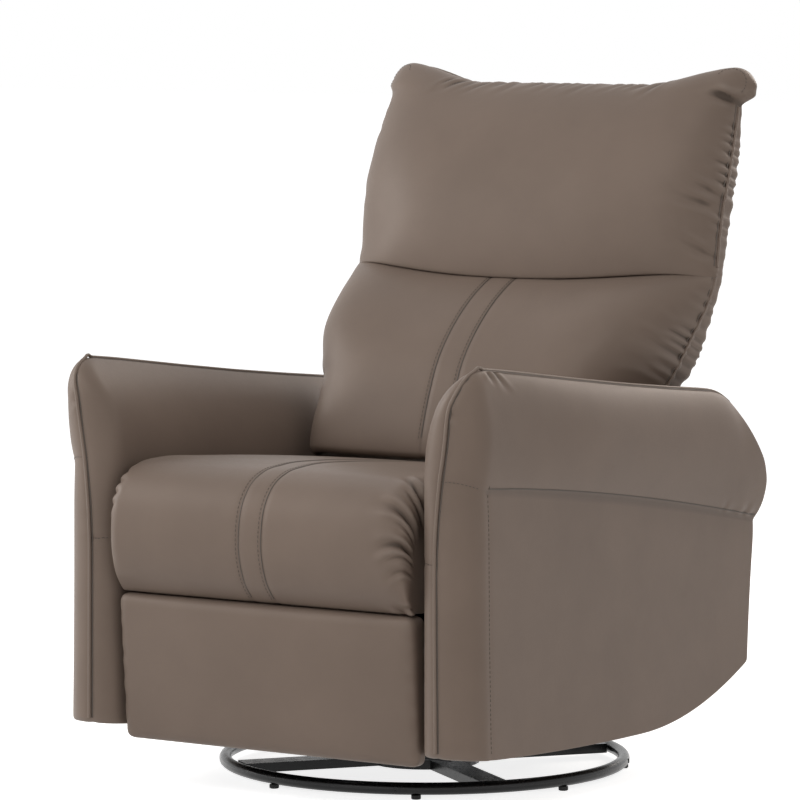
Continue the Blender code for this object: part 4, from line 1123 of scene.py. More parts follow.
@dataclass
class BackRest:
    """Head pillow, lumbar cushion and outer back, in the back's own leaning frame.

    x runs across, h up along the back from its hinge and d forward from its board.
    """

    palette: Palette
    lean: float = math.radians(22.5)
    hinge: tuple[float, float] = (0.145, 0.328)
    bottom: float = 0.0625
    lumbar_low: float = 0.0957
    crease: float = 0.4225
    crease_half: float = 0.0015
    top: float = 0.716
    shell_depth: tuple[float, float] = (-0.035, 0.0149)
    pad_depth: float = 0.0155
    pad_edge: float = 0.012
    lobe_half: float = 0.331
    lobe_reach: tuple[float, float] = (0.0215, 0.0100)
    band_half: float = 0.022
    pleat: float = 0.018
    pleat_depth: float = 0.0014
    pillow_crown: Crown = Crown(height=0.092, fullest=0.36, foot=0.0, top_power=(0.50, 0.50), square=(6.0, 6.0),
                                side_power=(0.70, 0.50))
    pillow_droop: float = 0.084
    lumbar_crown: Crown = Crown(height=0.153, fullest=0.33, foot=0.85, top_power=(0.78, 0.54), square=(14.0, 8.0),
                                side_power=(0.45, 0.50))
    lumbar_droop: tuple[float, float] = (0.0165, 0.0080)
    shell_crown: float = 0.008
    shell_seam: float = 0.385
    shell_groove: Groove = Groove(0.0016, 0.0050)
    shell_stitches: tuple[float, float] = (0.378, 0.392)
    shell_stitch_half: float = 0.28
    shell_gathers: Gathers = Gathers(31, 0.10, 0.70, 0.045, 0.040, 0.0085, 0.0016)
    pillow_seam: tuple[float, float] = (0.432, 0.686)
    pillow_left: tuple[Fold, ...] = (
        Fold(0.690, 0.050, 0.0060, 0.0030, 0.25), Fold(0.592, 0.050, 0.0065, 0.0010),
        Fold(0.541, 0.060, 0.0060, 0.0022, 0.10), Fold(0.521, 0.085, 0.0070, 0.0028, 0.12),
        Fold(0.446, 0.065, 0.0065, 0.0022, 0.25))
    pillow_right: Gathers = Gathers(5, 0.44, 0.68, 0.034, 0.030, 0.0080, 0.0013)
    pillow_top: Gathers = Gathers(9, -0.19, 0.20, 0.0190, 0.040, 0.0050, 0.0020, 0.25, -0.8)
    lumbar_seam: tuple[float, float] = (0.120, 0.414)
    lumbar_left: tuple[Fold, ...] = (
        Fold(0.318, 0.040, 0.0055, 0.0010, 0.4), Fold(0.290, 0.055, 0.0060, 0.0014, 0.25),
        Fold(0.258, 0.040, 0.0060, 0.0010, -0.1))
    lumbar_right: tuple[Fold, ...] = (Fold(0.186, 0.070, 0.0085, 0.0024, 0.35), Fold(0.330, 0.030, 0.0080, 0.0008))
    band_run: tuple[float, float] = (0.100, 0.400)
    swell_cap: float = 0.008
    piping_radius: float = 0.0019
    ear: Point = (0.302, 0.045, 0.720)
    ear_radius: float = 0.024
    shell_half: Callable[[Array], Array] = field(default_factory=lambda: eased_table(
        [(0.05, 0.2555), (0.20, 0.2555), (0.235, 0.260), (0.250, 0.265), (0.275, 0.287), (0.30, 0.2965), (0.36, 0.304),
         (0.425, 0.3095), (0.50, 0.303), (0.60, 0.296), (0.66, 0.291), (0.73, 0.290)]))
    face_left: Callable[[Array], Array] = field(default_factory=lambda: eased_table(
        [*FACE_FOOT, (0.276, 0.3005), (0.303, 0.305),
         (0.343, 0.319), (0.385, 0.330), (0.417, 0.333), (0.454, 0.3265), (0.50, 0.3205), (0.535, 0.3175),
         (0.594, 0.316), (0.649, 0.311), (0.69, 0.3085), (0.73, 0.3085)]))
    face_right: Callable[[Array], Array] = field(default_factory=lambda: eased_table(
        [*FACE_FOOT, (0.276, 0.3000),
         (0.315, 0.301), (0.387, 0.300), (0.412, 0.307), (0.436, 0.304), (0.479, 0.311), (0.526, 0.317),
         (0.559, 0.319), (0.607, 0.316), (0.67, 0.312), (0.73, 0.312)]))
    brim: Callable[[Array], Array] = field(default_factory=lambda: eased_table(
        [(0.0, 0.0), (0.16, 0.0), (0.2036, 0.0090), (0.246, 0.0217), (0.279, 0.0300), (0.298, 0.0326), (0.313, 0.0285),
         (0.325, 0.0160), (0.333, 0.0040)], 0.006))

    def face_half(self, x: Array, h: Array) -> Array:
        """Half width of the cushions' face on the side of x."""
        return np.where(x > 0, self.face_left(h), self.face_right(h))

    def place(self, x: Array, h: Array, d: Array) -> Array:
        """Chair places of points in the back's frame."""
        sin, cos = math.sin(self.lean), math.cos(self.lean)
        return np.stack([x, self.hinge[0] + h * sin - d * cos, self.hinge[1] + h * cos + d * sin], axis=1)

    def local(self, places: Array) -> tuple[Array, Array, Array]:
        """Points in the back's frame of chair places.

        Args:
            places: Chair places.

        Returns:
            Places across, up and forward.
        """
        sin, cos = math.sin(self.lean), math.cos(self.lean)
        y, z = places[:, 1] - self.hinge[0], places[:, 2] - self.hinge[1]
        return places[:, 0], y * sin + z * cos, z * sin - y * cos

    def shares(self, unit: Array) -> tuple[Array, Array, Array]:
        """Place across, share of the way up and share of the way forward of a cushion's lattice points."""
        return denser(unit[:, 0], 0.5), (denser(unit[:, 2], 0.6) + 1) / 2, (1 - unit[:, 1]) / 2

    def cushion(self, unit: Array, low: float, high: float, crown: Crown, droop: Array) -> Array:
        """Form of a cushion on the back.

        Args:
            unit: Points of the lattice.
            low: Its lower seam.
            high: Its upper seam.
            crown: How its front stands out.
            droop: How far each point hangs down.

        Returns:
            Chair places.
        """
        u, share, front = self.shares(unit)
        h = blend(low, high, share) - droop
        half = blend(self.shell_half(h), self.face_half(u, h), smooth(0.0, 0.5, front))
        if high > self.crease:
            h = h + self.brim(np.abs(u) * self.lobe_half) * smooth(0.68, 1.0, share)
            half = half + np.where(u > 0, *self.lobe_reach) * smooth(0.690, 0.706, h)
        return self.place(u * half, h, self.pad_depth + (self.pad_edge + crown.thickness(u, share)) * front)

    def pillow_form(self, unit: Array) -> Array:
        """Form of the head pillow, whose lower roll hangs over the lumbar cushion.

        Args:
            unit: Points of the lattice.

        Returns:
            Chair places.
        """
        u, share, front = self.shares(unit)
        middle = self.pillow_droop * (1 - 0.50 * np.abs(u) ** 2.2)
        droop = middle * smooth(0.0, 0.08, share) * (1 - share) ** 3 * front
        return self.cushion(unit, self.crease + self.crease_half, self.top, self.pillow_crown, droop)

    def lumbar_form(self, unit: Array) -> Array:
        """Form of the lumbar cushion, whose belly rests over the seat.

        Args:
            unit: Points of the lattice.

        Returns:
            Chair places.
        """
        u, share, front = self.shares(unit)
        sides, middle = self.lumbar_droop
        droop = (sides + middle * (1 - np.abs(u) ** 6)) * smooth(0.50, 1.0, front) * (1 - share) ** 6
        return self.cushion(unit, self.lumbar_low, self.crease - self.crease_half, self.lumbar_crown, droop)

    def shell_form(self, unit: Array) -> Array:
        """Form of the outer back.

        Args:
            unit: Points of the lattice.

        Returns:
            Chair places.
        """
        u, v, w = unit.T
        share, front = (w + 1) / 2, (1 - v) / 2
        h = blend(self.bottom, self.top, share)
        x = u * self.shell_half(h)
        corner = self.brim(np.abs(x)) * smooth(0.86, 1.0, share)
        rear = self.shell_depth[0] - self.shell_crown * (1 - u * u) * hump(share) ** 0.7 + 0.9 * corner
        return self.place(x, h + corner, blend(rear, self.shell_depth[1], front))

    def wall_relief(self, unit: Array, h: Array) -> Array:
        """Soft uneven pleats on the side wall of a piece of the back.

        Args:
            unit: Points of the lattice.
            h: Their heights along the back.

        Returns:
            Height of the pleats at each point, below 0 in their hollows.
        """
        wall = smooth(0.93, 1.0, np.abs(unit[:, 0])) * smooth(0.20, 0.28, h)
        phase = h / self.pleat + 0.30 * np.sin(41.0 * h) + 0.2 * np.sin(97.0 * h + 1.0)
        return wall * self.pleat_depth * np.sin(2 * math.pi * phase) * (0.6 + 0.4 * np.sin(23.0 * h + 0.7))

    def pillow_relief(self, unit: Array, places: Array) -> Array:
        """Tucks, gathers and pleats of the head pillow.

        Args:
            unit: Points of the lattice.
            places: Their chair places.

        Returns:
            Height of the relief at each point, below 0 in its hollows.
        """
        x, h, _ = self.local(places)
        front = smooth(-0.2, 0.5, -unit[:, 1])
        half = self.face_half(x, h)
        depth = tucked(h, half - x, self.pillow_left) + tucked(h, half + x, self.pillow_right.folds())
        depth += tucked(x, self.top - h, self.pillow_top.folds()) * smooth(0.24, 0.20, np.abs(x))
        return self.wall_relief(unit, h) - front * depth

    def lumbar_relief(self, unit: Array, places: Array) -> Array:
        """Sewn band, tucks and pleats of the lumbar cushion.

        Args:
            unit: Points of the lattice.
            places: Their chair places.

        Returns:
            Height of the relief at each point, below 0 in its hollows.
        """
        x, h, _ = self.local(places)
        front = smooth(-0.2, 0.5, -unit[:, 1])
        half = self.face_half(x, h)
        depth = tucked(h, half - x, self.lumbar_left) + tucked(h, half + x, self.lumbar_right)
        depth += band_grooves(x, self.band_half)
        return self.wall_relief(unit, h) - front * depth

    def shell_relief(self, unit: Array, places: Array) -> Array:
        """Pleats and the joining seam of the outer back.

        Args:
            unit: Points of the lattice.
            places: Their chair places.

        Returns:
            Height of the relief at each point, below 0 in its hollows.
        """
        x, h, _ = self.local(places)
        rear = smooth(0.2, 0.9, unit[:, 1])
        depth = tucked(h, self.shell_half(h) - np.abs(x), self.shell_gathers.folds())
        depth += self.shell_groove.cut(h - self.shell_seam)
        return self.wall_relief(unit, h) - rear * depth

    def build(self) -> None:
        """Builds and settles the pieces of the back."""
        fabric = self.palette.fabric

        def held_face(unit: Array) -> Array:
            """True on the front face, inside its seams."""
            return (unit[:, 1] < -0.75) & (np.abs(unit[:, 0]) < 0.92) & (np.abs(unit[:, 2]) < 0.86)

        pillow_half = (0.318, 0.045, (self.top - self.crease) / 2)
        ears = [Corner((0, 2), (sign, 1), 0.030) for sign in (1, -1)]
        pillow = PaddedForm("head_pillow_cover", pillow_half, 0.010, (126, 11, 64), self.pillow_form,
                            self.pillow_relief, (), Swell(self.swell_cap), held_face).build(fabric, 0.7)
        lumbar_half = (0.29, 0.045, (self.crease - self.lumbar_low) / 2)
        lumbar = PaddedForm("lumbar_cushion_cover", lumbar_half, 0.010, (112, 11, 76), self.lumbar_form,
                            self.lumbar_relief, (), Swell(self.swell_cap), held_face).build(fabric, 0.7)
        shell_half = (0.31, 0.025, (self.top - self.bottom) / 2)
        shell = PaddedForm("outer_back_cover", shell_half, 0.010, (70, 9, 90), self.shell_form,
                           self.shell_relief, ears).build(fabric, 0.9)
        settle(pillow, "back", Slot.FABRIC, "head_pillow")
        settle(lumbar, "back", Slot.FABRIC, "lumbar_cushion")
        settle(shell, "back", Slot.FABRIC, "back_shell")
        self.trim(pillow, lumbar, shell)

    def face_line(self, surface: BVHTree, x: Array, h: Array, lift: float) -> Array:
        """Line on the front of a cushion, found by looking at it straight from the front.

        Args:
            surface: The cushion's search tree.
            x: Places across.
            h: Heights.
            lift: Height above the surface.

        Returns:
            The line's points.
        """
        start, end = self.place(x, h, np.full_like(x, 0.5)), self.place(x, h, np.zeros_like(x))
        hits = [surface.ray_cast(Vector(a), Vector(b - a)) for a, b in zip(start, end)]
        ahead = (start[0] - end[0]) / np.linalg.norm(start[0] - end[0])
        return ease_path(np.array([hit[0] for hit in hits if hit[0] is not None]) + ahead * lift, 6)

    def trim(self, pillow: bpy.types.Object, lumbar: bpy.types.Object, shell: bpy.types.Object) -> None:
        """Sews piping and stitches onto the back, and lays dark cords of painted shade along its seams.

        Args:
            pillow: The head pillow.
            lumbar: The lumbar cushion.
            shell: The outer back.
        """
        on_pillow, on_lumbar, on_shell = (surface_of(piece) for piece in (pillow, lumbar, shell))
        edges, lines = [], []
        upper, lower = np.linspace(*self.pillow_seam, 50), np.linspace(*self.lumbar_seam, 60)
        for sign in (1.0, -1.0):
            for surface, h in ((on_pillow, upper), (on_lumbar, lower)):
                half = sign * self.face_half(np.full_like(h, sign), h)
                seam = self.place(half, h, np.full_like(h, self.pad_depth + self.pad_edge))
                edges.append(ease_path(lay_on(surface, even_path(seam, 0.006), 0.0006)[0], 8))
                # painted seam shade: a line just inside each piping, for a dark cord
                inner = self.place(half - sign * 0.002, h, np.full_like(h, self.pad_depth + self.pad_edge + 0.006))
                lines.append(ease_path(lay_on(surface, even_path(inner, 0.006), 0.0)[0], 8))
        down = np.linspace(*self.band_run, 110)
        for x in (-self.band_half, self.band_half):
            lines.append(self.face_line(on_lumbar, np.full_like(down, x), down, 0.0))
        settle(piping("back_face_piping", edges, self.piping_radius, self.palette.fabric), "back", Slot.FABRIC)
        # painted seam shade: dark thread-coloured cords beside the piping and along the lumbar band's seams
        settle(piping("back_seams", lines, SEAM_SHADE_RADIUS, self.palette.thread), "back", Slot.FABRIC)
        runs = [(on_lumbar, self.face_line(on_lumbar, np.full_like(down, x), down, 0.0))
                for x in (-self.band_half - STITCH_ASIDE, self.band_half - STITCH_ASIDE)]
        turn = np.linspace(math.radians(-40), math.radians(170), 40)
        ear_x, ear_depth, ear_h = self.ear
        for sign in (1.0, -1.0):
            rim = self.place(sign * (ear_x + self.ear_radius * np.cos(turn)), ear_h + self.ear_radius * np.sin(turn),
                             np.full_like(turn, ear_depth))
            runs.append((on_pillow, rim))
        across = np.linspace(-self.shell_stitch_half, self.shell_stitch_half, 80)
        for h in self.shell_stitches:
            runs.append((on_shell, self.place(across, np.full_like(across, h), np.full_like(across, -0.05))))
        settle(STITCH.sew("back_stitches", runs, self.palette.thread), "back", Slot.FABRIC)


# ---------------------------------------------------------------- seat and footrest


@dataclass
class SeatCushion:
    """Seat cushion with its front roll and sewn centre band."""

    palette: Palette
    half: float = 0.2525
    drawn_in: float = 0.003
    end_round: tuple[float, float] = (0.036, 0.020)
    upper: tuple[tuple[float, float], ...] = (
        (0.094, 0.441), (-0.110, 0.460), (-0.250, 0.4715), (-0.335, 0.4768), (-0.382, 0.4728), (-0.4125, 0.458),
        (-0.4345, 0.430), (-0.4432, 0.392), (-0.4422, 0.355), (-0.429, 0.318), (-0.404, 0.2865))
    lower: tuple[tuple[float, float], ...] = (
        (0.118, 0.351), (-0.110, 0.351), (-0.250, 0.351), (-0.300, 0.351), (-0.330, 0.351), (-0.352, 0.351),
        (-0.3712, 0.351), (-0.3712, 0.3375), (-0.3712, 0.322), (-0.3712, 0.305), (-0.3712, 0.2865))
    band_half: float = 0.0195
    band_run: tuple[float, float] = (0.10, 0.985)
    swell_cap: float = 0.006
    left: tuple[Fold, ...] = (
        Fold(0.462, 0.030, 0.0040, 0.0026, -1.0), Fold(0.490, 0.058, 0.0056, 0.0062, -0.8),
        Fold(0.506, 0.030, 0.0034, 0.0030, -0.55), Fold(0.535, 0.064, 0.0056, 0.0064, -0.15),
        Fold(0.550, 0.028, 0.0034, 0.0028, 0.0), Fold(0.579, 0.056, 0.0054, 0.0058, 0.45),
        Fold(0.593, 0.030, 0.0034, 0.0028, 0.7), Fold(0.616, 0.036, 0.0046, 0.0026, 0.9),
        Fold(0.690, 0.026, 0.0050, 0.0022, 0.2))
    right: tuple[Fold, ...] = (
        Fold(0.503, 0.020, 0.0050, 0.0020), Fold(0.521, 0.026, 0.0046, 0.0028, 0.1),
        Fold(0.539, 0.020, 0.0046, 0.0024), Fold(0.558, 0.016, 0.0050, 0.0014))
    lip: tuple[Fold, ...] = (Fold(0.236, 0.022, 0.0055, 0.0026, -0.6),)

    def knots(self) -> Array:
        """Share of the way along the top at each of its points."""
        return np.concatenate([[0.0], np.cumsum(self.steps())]) / self.length()

    def steps(self) -> Array:
        """Distances between the points of the top."""
        return np.linalg.norm(np.diff(np.array(self.upper), axis=0), axis=1)

    def length(self) -> float:
        """Length of the top from its rear to its lower lip."""
        return float(self.steps().sum())

    def share(self, unit: Array) -> Array:
        """Share of the way along the top, with points closer together on the front roll."""
        return np.clip((1 - unit[:, 1]) / 2, 0.0, 1.0) ** 0.75

    def form(self, unit: Array) -> Array:
        """Form of the seat, from its rear at v = 1 to its lower lip at v = -1.

        Args:
            unit: Points of the lattice.

        Returns:
            Chair places.
        """
        u, share, up = denser(unit[:, 0], 0.6), self.share(unit), (unit[:, 2] + 1) / 2
        high, low = spline(self.upper, self.knots(), share), spline(self.lower, self.knots(), share)
        half = self.half - self.drawn_in * hump(up)
        end_round = np.where(u > 0, *self.end_round)
        past = np.clip((np.abs(u) - 1) * half / end_round + 1.0, 0.0, 1.0)
        drop = end_round * (1 - np.sqrt(1 - past**2)) * smooth(0.05, 0.3, share) * smooth(1.0, 0.85, share)
        full = up * (1 - drop / np.linalg.norm(high - low, axis=1))
        flat = blend(low, high, full[:, None])
        return np.stack([u * half, flat[:, 0], flat[:, 1]], axis=1)

    def relief(self, unit: Array, places: Array) -> Array:
        """Band, tucks and gathers of the seat.

        Args:
            unit: Points of the lattice.
            places: Their chair places.

        Returns:
            Height of the relief at each point, below 0 in its hollows.
        """
        x, run = places[:, 0], self.share(unit) * self.length()
        top = smooth(0.2, 0.9, unit[:, 2])
        depth = tucked(run, self.half - x, self.left, 1.0)
        depth += tucked(run, self.half + x, self.right, 1.0)
        depth += tucked(x, self.length() - run, self.lip)
        depth += band_grooves(x, self.band_half)
        return -top * depth

    def build(self) -> None:
        """Builds and settles the seat."""

        def held_face(unit: Array) -> Array:
            """True on the top, inside its seams."""
            return (unit[:, 2] > 0.75) & (np.abs(unit[:, 0]) < 0.90) & (np.abs(unit[:, 1]) < 0.97)

        form = PaddedForm("seat_cushion_cover", (self.half, 0.36, 0.050), 0.008, (64, 150, 9), self.form, self.relief,
                          (), Swell(self.swell_cap), held_face)
        seat = settle(form.build(self.palette.fabric, 0.75), "seat_carriage", Slot.FABRIC, "seat_cushion")
        surface = surface_of(seat)
        line = spline(self.upper, self.knots(), np.linspace(*self.band_run, 160))

        def sewn(x: float, lift: float) -> Array:
            """Line along the top at one place across."""
            return ease_path(lay_on(surface, np.column_stack([np.full(len(line), x), line]), lift)[0], 6)

        # painted seam shade: dark thread-coloured cords along both seams of the centre band
        seams = [sewn(x, 0.0) for x in (-self.band_half, self.band_half)]
        settle(piping("seat_seams", seams, SEAM_SHADE_RADIUS, self.palette.thread), "seat_carriage", Slot.FABRIC)
        runs = [(surface, sewn(x - STITCH_ASIDE, 0.0)) for x in (-self.band_half, self.band_half)]
        settle(STITCH.sew("seat_stitches", runs, self.palette.thread), "seat_carriage", Slot.FABRIC)


@dataclass
class Footrest:
    """Padded footrest panel under the seat's front."""

    palette: Palette
    half: float = 0.2550
    low: float = 0.072
    high: float = 0.2845
    rear: float = -0.3722
    thickness: float = 0.043
    crown: float = 0.010
    lean: float = 0.018
    swell_cap: float = 0.008
    gathers: Gathers = Gathers(51, 0.09, 0.28, 0.032, 0.022, 0.0070, 0.0008)

    def form(self, unit: Array) -> Array:
        """Form of the panel, crowned to the front.

        Args:
            unit: Points of the lattice.

        Returns:
            Chair places.
        """
        u, v, w = unit.T
        front = (1 - v) / 2
        swell = self.crown * (1 - u**4) * (1 - w**4) - self.lean * (1 - w) / 2
        z = blend(self.low, self.high, (w + 1) / 2)
        return np.stack([u * self.half, self.rear - (self.thickness + swell) * front, z], axis=1)

    def relief(self, unit: Array, places: Array) -> Array:
        """Faint gathers along the panel's sides.

        Args:
            unit: Points of the lattice.
            places: Their chair places.

        Returns:
            Height of the relief at each point, below 0 in its hollows.
        """
        front = smooth(0.0, 0.8, -unit[:, 1])
        inward = self.half - np.abs(places[:, 0])
        return -front * tucked(places[:, 2], inward, self.gathers.folds(), 1.0)

    def build(self) -> None:
        """Builds and settles the panel."""

        def held_face(unit: Array) -> Array:
            """True on the front, inside its seams."""
            return (unit[:, 1] < -0.6) & (np.abs(unit[:, 0]) < 0.95) & (np.abs(unit[:, 2]) < 0.9)

        half = (self.half, self.thickness / 2, (self.high - self.low) / 2)
        form = PaddedForm("footrest_cover", half, 0.013, (80, 9, 32), self.form, self.relief, (),
                          Swell(self.swell_cap), held_face)
        settle(form.build(self.palette.fabric, 0.85), "footrest", Slot.FABRIC, "footrest_panel")


# ---------------------------------------------------------------- arms and rear panel


@dataclass
class Arm:
    """One upholstered arm: an upright side with a rounded nose, and the pad that flares out to its ridge.

    The cover is one skin over the arm's body and pad. across runs from 0 inside to 1 outside.
    """

    palette: Palette
    side: Side
    drop: float = 0.0
    inner: float = 0.263
    outer: float = 0.352
    crest: float = -0.421
    crest_across: float = 0.416
    nose_inside: float = 0.041
    nose_outside: float = 0.050
    seam_front: float = -0.394
    lowest: tuple[float, float] = (0.034, 0.075)
    foot_rise: tuple[float, float] = (0.072, 0.015)
    foot_front: float = -0.394
    rear_foot: float = 0.335
    rear_seam: float = 0.363
    seam: tuple[float, float] = (0.466, 0.359)
    seam_bow: float = 0.010
    seam_nose_rise: float = 0.008
    seam_share: float = 0.62
    ridge_rear: float = 0.297
    ridge_x: float = 0.333
    ridge_thickness: float = 0.014
    brow: float = 0.055
    brow_share: float = 0.60
    flare: float = 0.160
    flare_power: tuple[float, float] = (2.8, 2.0)
    bulge: tuple[float, float] = (0.012, 0.023)
    stitch_y: float = -0.366
    inside_stitch_z: float = 0.362
    knob_y: float = -0.372
    knob_height: float = 0.0040
    welt_radius: float = 0.0026
    welt_lift: float = 0.0018
    seam_shade_radius: float = 0.0011
    shade_line_aside: float = 0.0034
    stitch_run: tuple[float, float] = (0.100, 0.462)
    pad_groove: Groove = Groove(0.0006, 0.0060)
    side_groove: Groove = Groove(0.0004, 0.0055)
    inside_groove: Groove = Groove(0.0009, 0.0045)
    welt_groove: Groove = Groove(0.0010, 0.0060)
    pad_gathers: Gathers = Gathers(72, 0.27, 0.36, 0.022, 0.024, 0.0065, 0.0014)
    welt_gathers: Gathers = Gathers(77, 0.580, 0.632, 0.0100, 0.015, 0.0042, 0.0012, 0.2)
    welt_tuck: Fold = Fold(0.571, 0.020, 0.0045, 0.0020)
    ridge_tucks: tuple[Fold, ...] = (
        Fold(-0.362, 0.024, 0.0050, 0.0024, 0.5), Fold(-0.346, 0.034, 0.0055, 0.0020, 0.8))
    ridge: Callable[[Array], Array] = field(default_factory=lambda: eased_table(
        [(-0.43, 0.634), (-0.394, 0.633), (-0.364, 0.629), (-0.139, 0.600), (-0.008, 0.584), (0.12, 0.570),
         (0.250, 0.557), (0.280, 0.549), (0.300, 0.536)], 0.010))
    rear: Callable[[Array], Array] = field(default_factory=lambda: eased_table(
        [(0.0, 0.3635), (0.15, 0.3675), (0.32, 0.368), (0.50, 0.357), (0.75, 0.326), (1.0, 0.296)], 0.03))
    welt: Callable[[Array], Array] = field(default_factory=lambda: eased_table(
        [(0.07, 0.300), (0.36, 0.297), (0.42, 0.301), (0.48, 0.309), (0.533, 0.3175), (0.57, 0.3205), (0.582, 0.3205),
         (0.60, 0.328), (0.615, 0.335), (0.640, 0.3395)], 0.008))

    def bottom(self, y: Array) -> Array:
        """Height of the arm's curved lower edge.

        Args:
            y: Places along the arm.

        Returns:
            The heights.
        """
        back = self.foot_rise[0] * ((y - self.lowest[0]) / (self.rear_foot - self.lowest[0])) ** 2
        fore = self.foot_rise[1] * ((y - self.lowest[0]) / (self.foot_front - self.lowest[0])) ** 2
        return self.lowest[1] + np.where(y > self.lowest[0], back, fore)

    def seam_z(self, y: Array) -> Array:
        """Height of the bowed seam under the pad, which rises a little across the nose.

        Args:
            y: Places along the arm.

        Returns:
            The heights.
        """
        share = (y - self.seam_front) / (self.rear_seam - self.seam_front)
        rise = self.seam_nose_rise * smooth(self.stitch_y, self.crest, y)
        return blend(*self.seam, share) + self.seam_bow * hump(share) + rise

    def ridge_z(self, y: Array) -> Array:
        """Height of the ridge along the top."""
        return self.ridge(y) - self.drop

    def welt_x(self, z: Array) -> Array:
        """Place across of the piping on the nose."""
        return self.welt(z + self.drop * smooth(0.50, 0.60, z))

    def nose(self, across: Array) -> Array:
        """How far the nose falls back from its crest.

        Args:
            across: Places from the inside to the outside.

        Returns:
            The distances.
        """
        inside = np.clip((self.crest_across - across) / self.crest_across, 0.0, 1.0)
        outside = np.clip((across - self.crest_across) / (1 - self.crest_across), 0.0, 1.0)
        return (self.nose_inside * (1 - np.sqrt(1 - inside**2.0))
                + self.nose_outside * (1 - np.sqrt(1 - outside**2.2)))

    def form(self, unit: Array) -> Array:
        """Form of the arm.

        Args:
            unit: Points of the lattice.

        Returns:
            Chair places.
        """
        u, v, w = unit.T
        across, along, up = (1 + np.sin(u * math.pi / 2)) / 2, (v + 1) / 2, (w + 1) / 2
        low = np.clip(up / self.seam_share, 0.0, 1.0)
        pad = 1 - (1 - np.clip((up - self.seam_share) / (1 - self.seam_share), 0.0, 1.0)) ** 1.7
        over = np.clip((pad - self.brow_share) / (1 - self.brow_share), 0.0, 1.0)
        front = self.crest + self.nose(across) * (1 - 0.55 * over) + self.brow * (1 - np.sqrt(1 - over**2))
        rear = np.where(pad > 0, self.rear(pad), blend(self.rear_foot, self.rear_seam, low))
        y = blend(front, rear, along)
        high = self.ridge_z(y)
        z = np.where(pad > 0, blend(self.seam_z(y), high, pad), blend(self.bottom(y), self.seam_z(y), low))
        rise = np.clip(1 - (high - z) / self.flare, 0.0, 1.0)
        inside = self.inner + (self.ridge_x - self.inner) * rise ** blend(*self.flare_power, smooth(0.12, 0.26, y))
        bulge = blend(*self.bulge, smooth(-0.38, -0.05, y)) * np.maximum(hump(pad), 1e-9) ** 0.72
        outside = blend(self.outer, self.ridge_x + self.ridge_thickness, pad**4) + bulge
        outside = outside + 0.005 * (1 - low) ** 2 - 0.002 * bell((low - 1) / 0.1)
        x = blend(inside, np.maximum(outside, inside + self.ridge_thickness), across)
        return np.stack([self.side.value * x, y, z], axis=1)

    def welt_line(self, aside: float = 0.0) -> Array:
        """Line of the piping: up the nose, over its top, then along the ridge to the rear.

        Args:
            aside: How far to the outside of the piping the line runs.

        Returns:
            The line's points, near the surface.
        """
        z = np.linspace(self.lowest[1] + 0.024, 0.600 - self.drop, 80)
        nose = np.column_stack([self.welt_x(z), np.full_like(z, self.crest - 0.01), z])
        turn = np.linspace(0.15, 1.0, 14)
        y, top = self.crest + 0.012 + 0.045 * turn**1.6, 0.600 - self.drop + 0.034 * np.sin(turn * math.pi / 2)
        over = np.column_stack([blend(0.331, 0.3395, turn), y, top])
        y = np.linspace(y[-1] + 0.01, self.ridge_rear - 0.004, 80)
        back = np.column_stack([np.full_like(y, self.ridge_x + 0.0065), y, self.ridge_z(y) + 0.003 - 1.5 * abs(aside)])
        line = np.concatenate([nose, over, back])
        return (line + np.array([aside, 0.0, 0.0])) * np.array([self.side.value, 1.0, 1.0])

    def relief(self, unit: Array, places: Array) -> Array:
        """Seams and gathers of the arm.

        Args:
            unit: Points of the lattice.
            places: Their chair places.

        Returns:
            Height of the relief at each point, below 0 in its hollows.
        """
        u = unit[:, 0]
        x, y, z = np.abs(places[:, 0]), places[:, 1], places[:, 2]
        outside, nose = smooth(-0.1, 0.3, u), smooth(-0.80, -0.98, unit[:, 1])
        seam = self.seam_z(y)
        depth = outside * self.pad_groove.cut(z - seam) * smooth(-0.40, -0.36, y)
        depth += outside * self.side_groove.cut(y - self.stitch_y) * smooth(-0.004, 0.004, seam - z)
        depth += smooth(0.2, -0.2, u) * nose * self.inside_groove.cut(z - self.inside_stitch_z)
        gathers = tucked(y, z - seam, self.pad_gathers.folds())
        depth += outside * (1 - nose) * np.where(z >= seam, gathers, 0.0)
        depth += smooth(0.5, 1.0, u) * tucked(y, self.ridge_z(y) - z, self.ridge_tucks)
        welt = self.welt_x(z)
        depth += nose * self.welt_groove.cut(x - welt)
        rows = replace(self.welt_gathers, start=self.welt_gathers.start - self.drop).folds()
        rows.append(replace(self.welt_tuck, at=self.welt_tuck.at - self.drop))
        depth += nose * np.where(x >= welt, tucked(z, x - welt, rows), 0.0)
        return -depth

    def build(self) -> None:
        """Builds and settles the arm's pieces."""
        word, fabric, thread = self.side.word, self.palette.fabric, self.palette.thread
        form = PaddedForm(f"arm_cover_{word}", (0.046, 0.380, 0.275), 0.004, (20, 108, 76), self.form, self.relief)
        cover = settle(form.build(fabric, 0.9), "chair", Slot.FABRIC, f"arm_body_{word}", f"arm_pad_{word}")
        surface = surface_of(cover)

        def laid(line: Array, lift: float) -> Array:
            """Line put onto the cover and smoothed."""
            return ease_path(lay_on(surface, even_path(line, 0.005), lift)[0], 10)

        welt = laid(self.welt_line(), self.welt_lift)
        knob = self.knob_height * bell((welt[:, 1] - self.knob_y) / 0.006)
        welt[:, 2] += knob * smooth(0.60, 0.615, welt[:, 2] + self.drop)
        settle(piping(f"arm_piping_{word}", [welt], self.welt_radius, fabric), "chair", Slot.FABRIC)
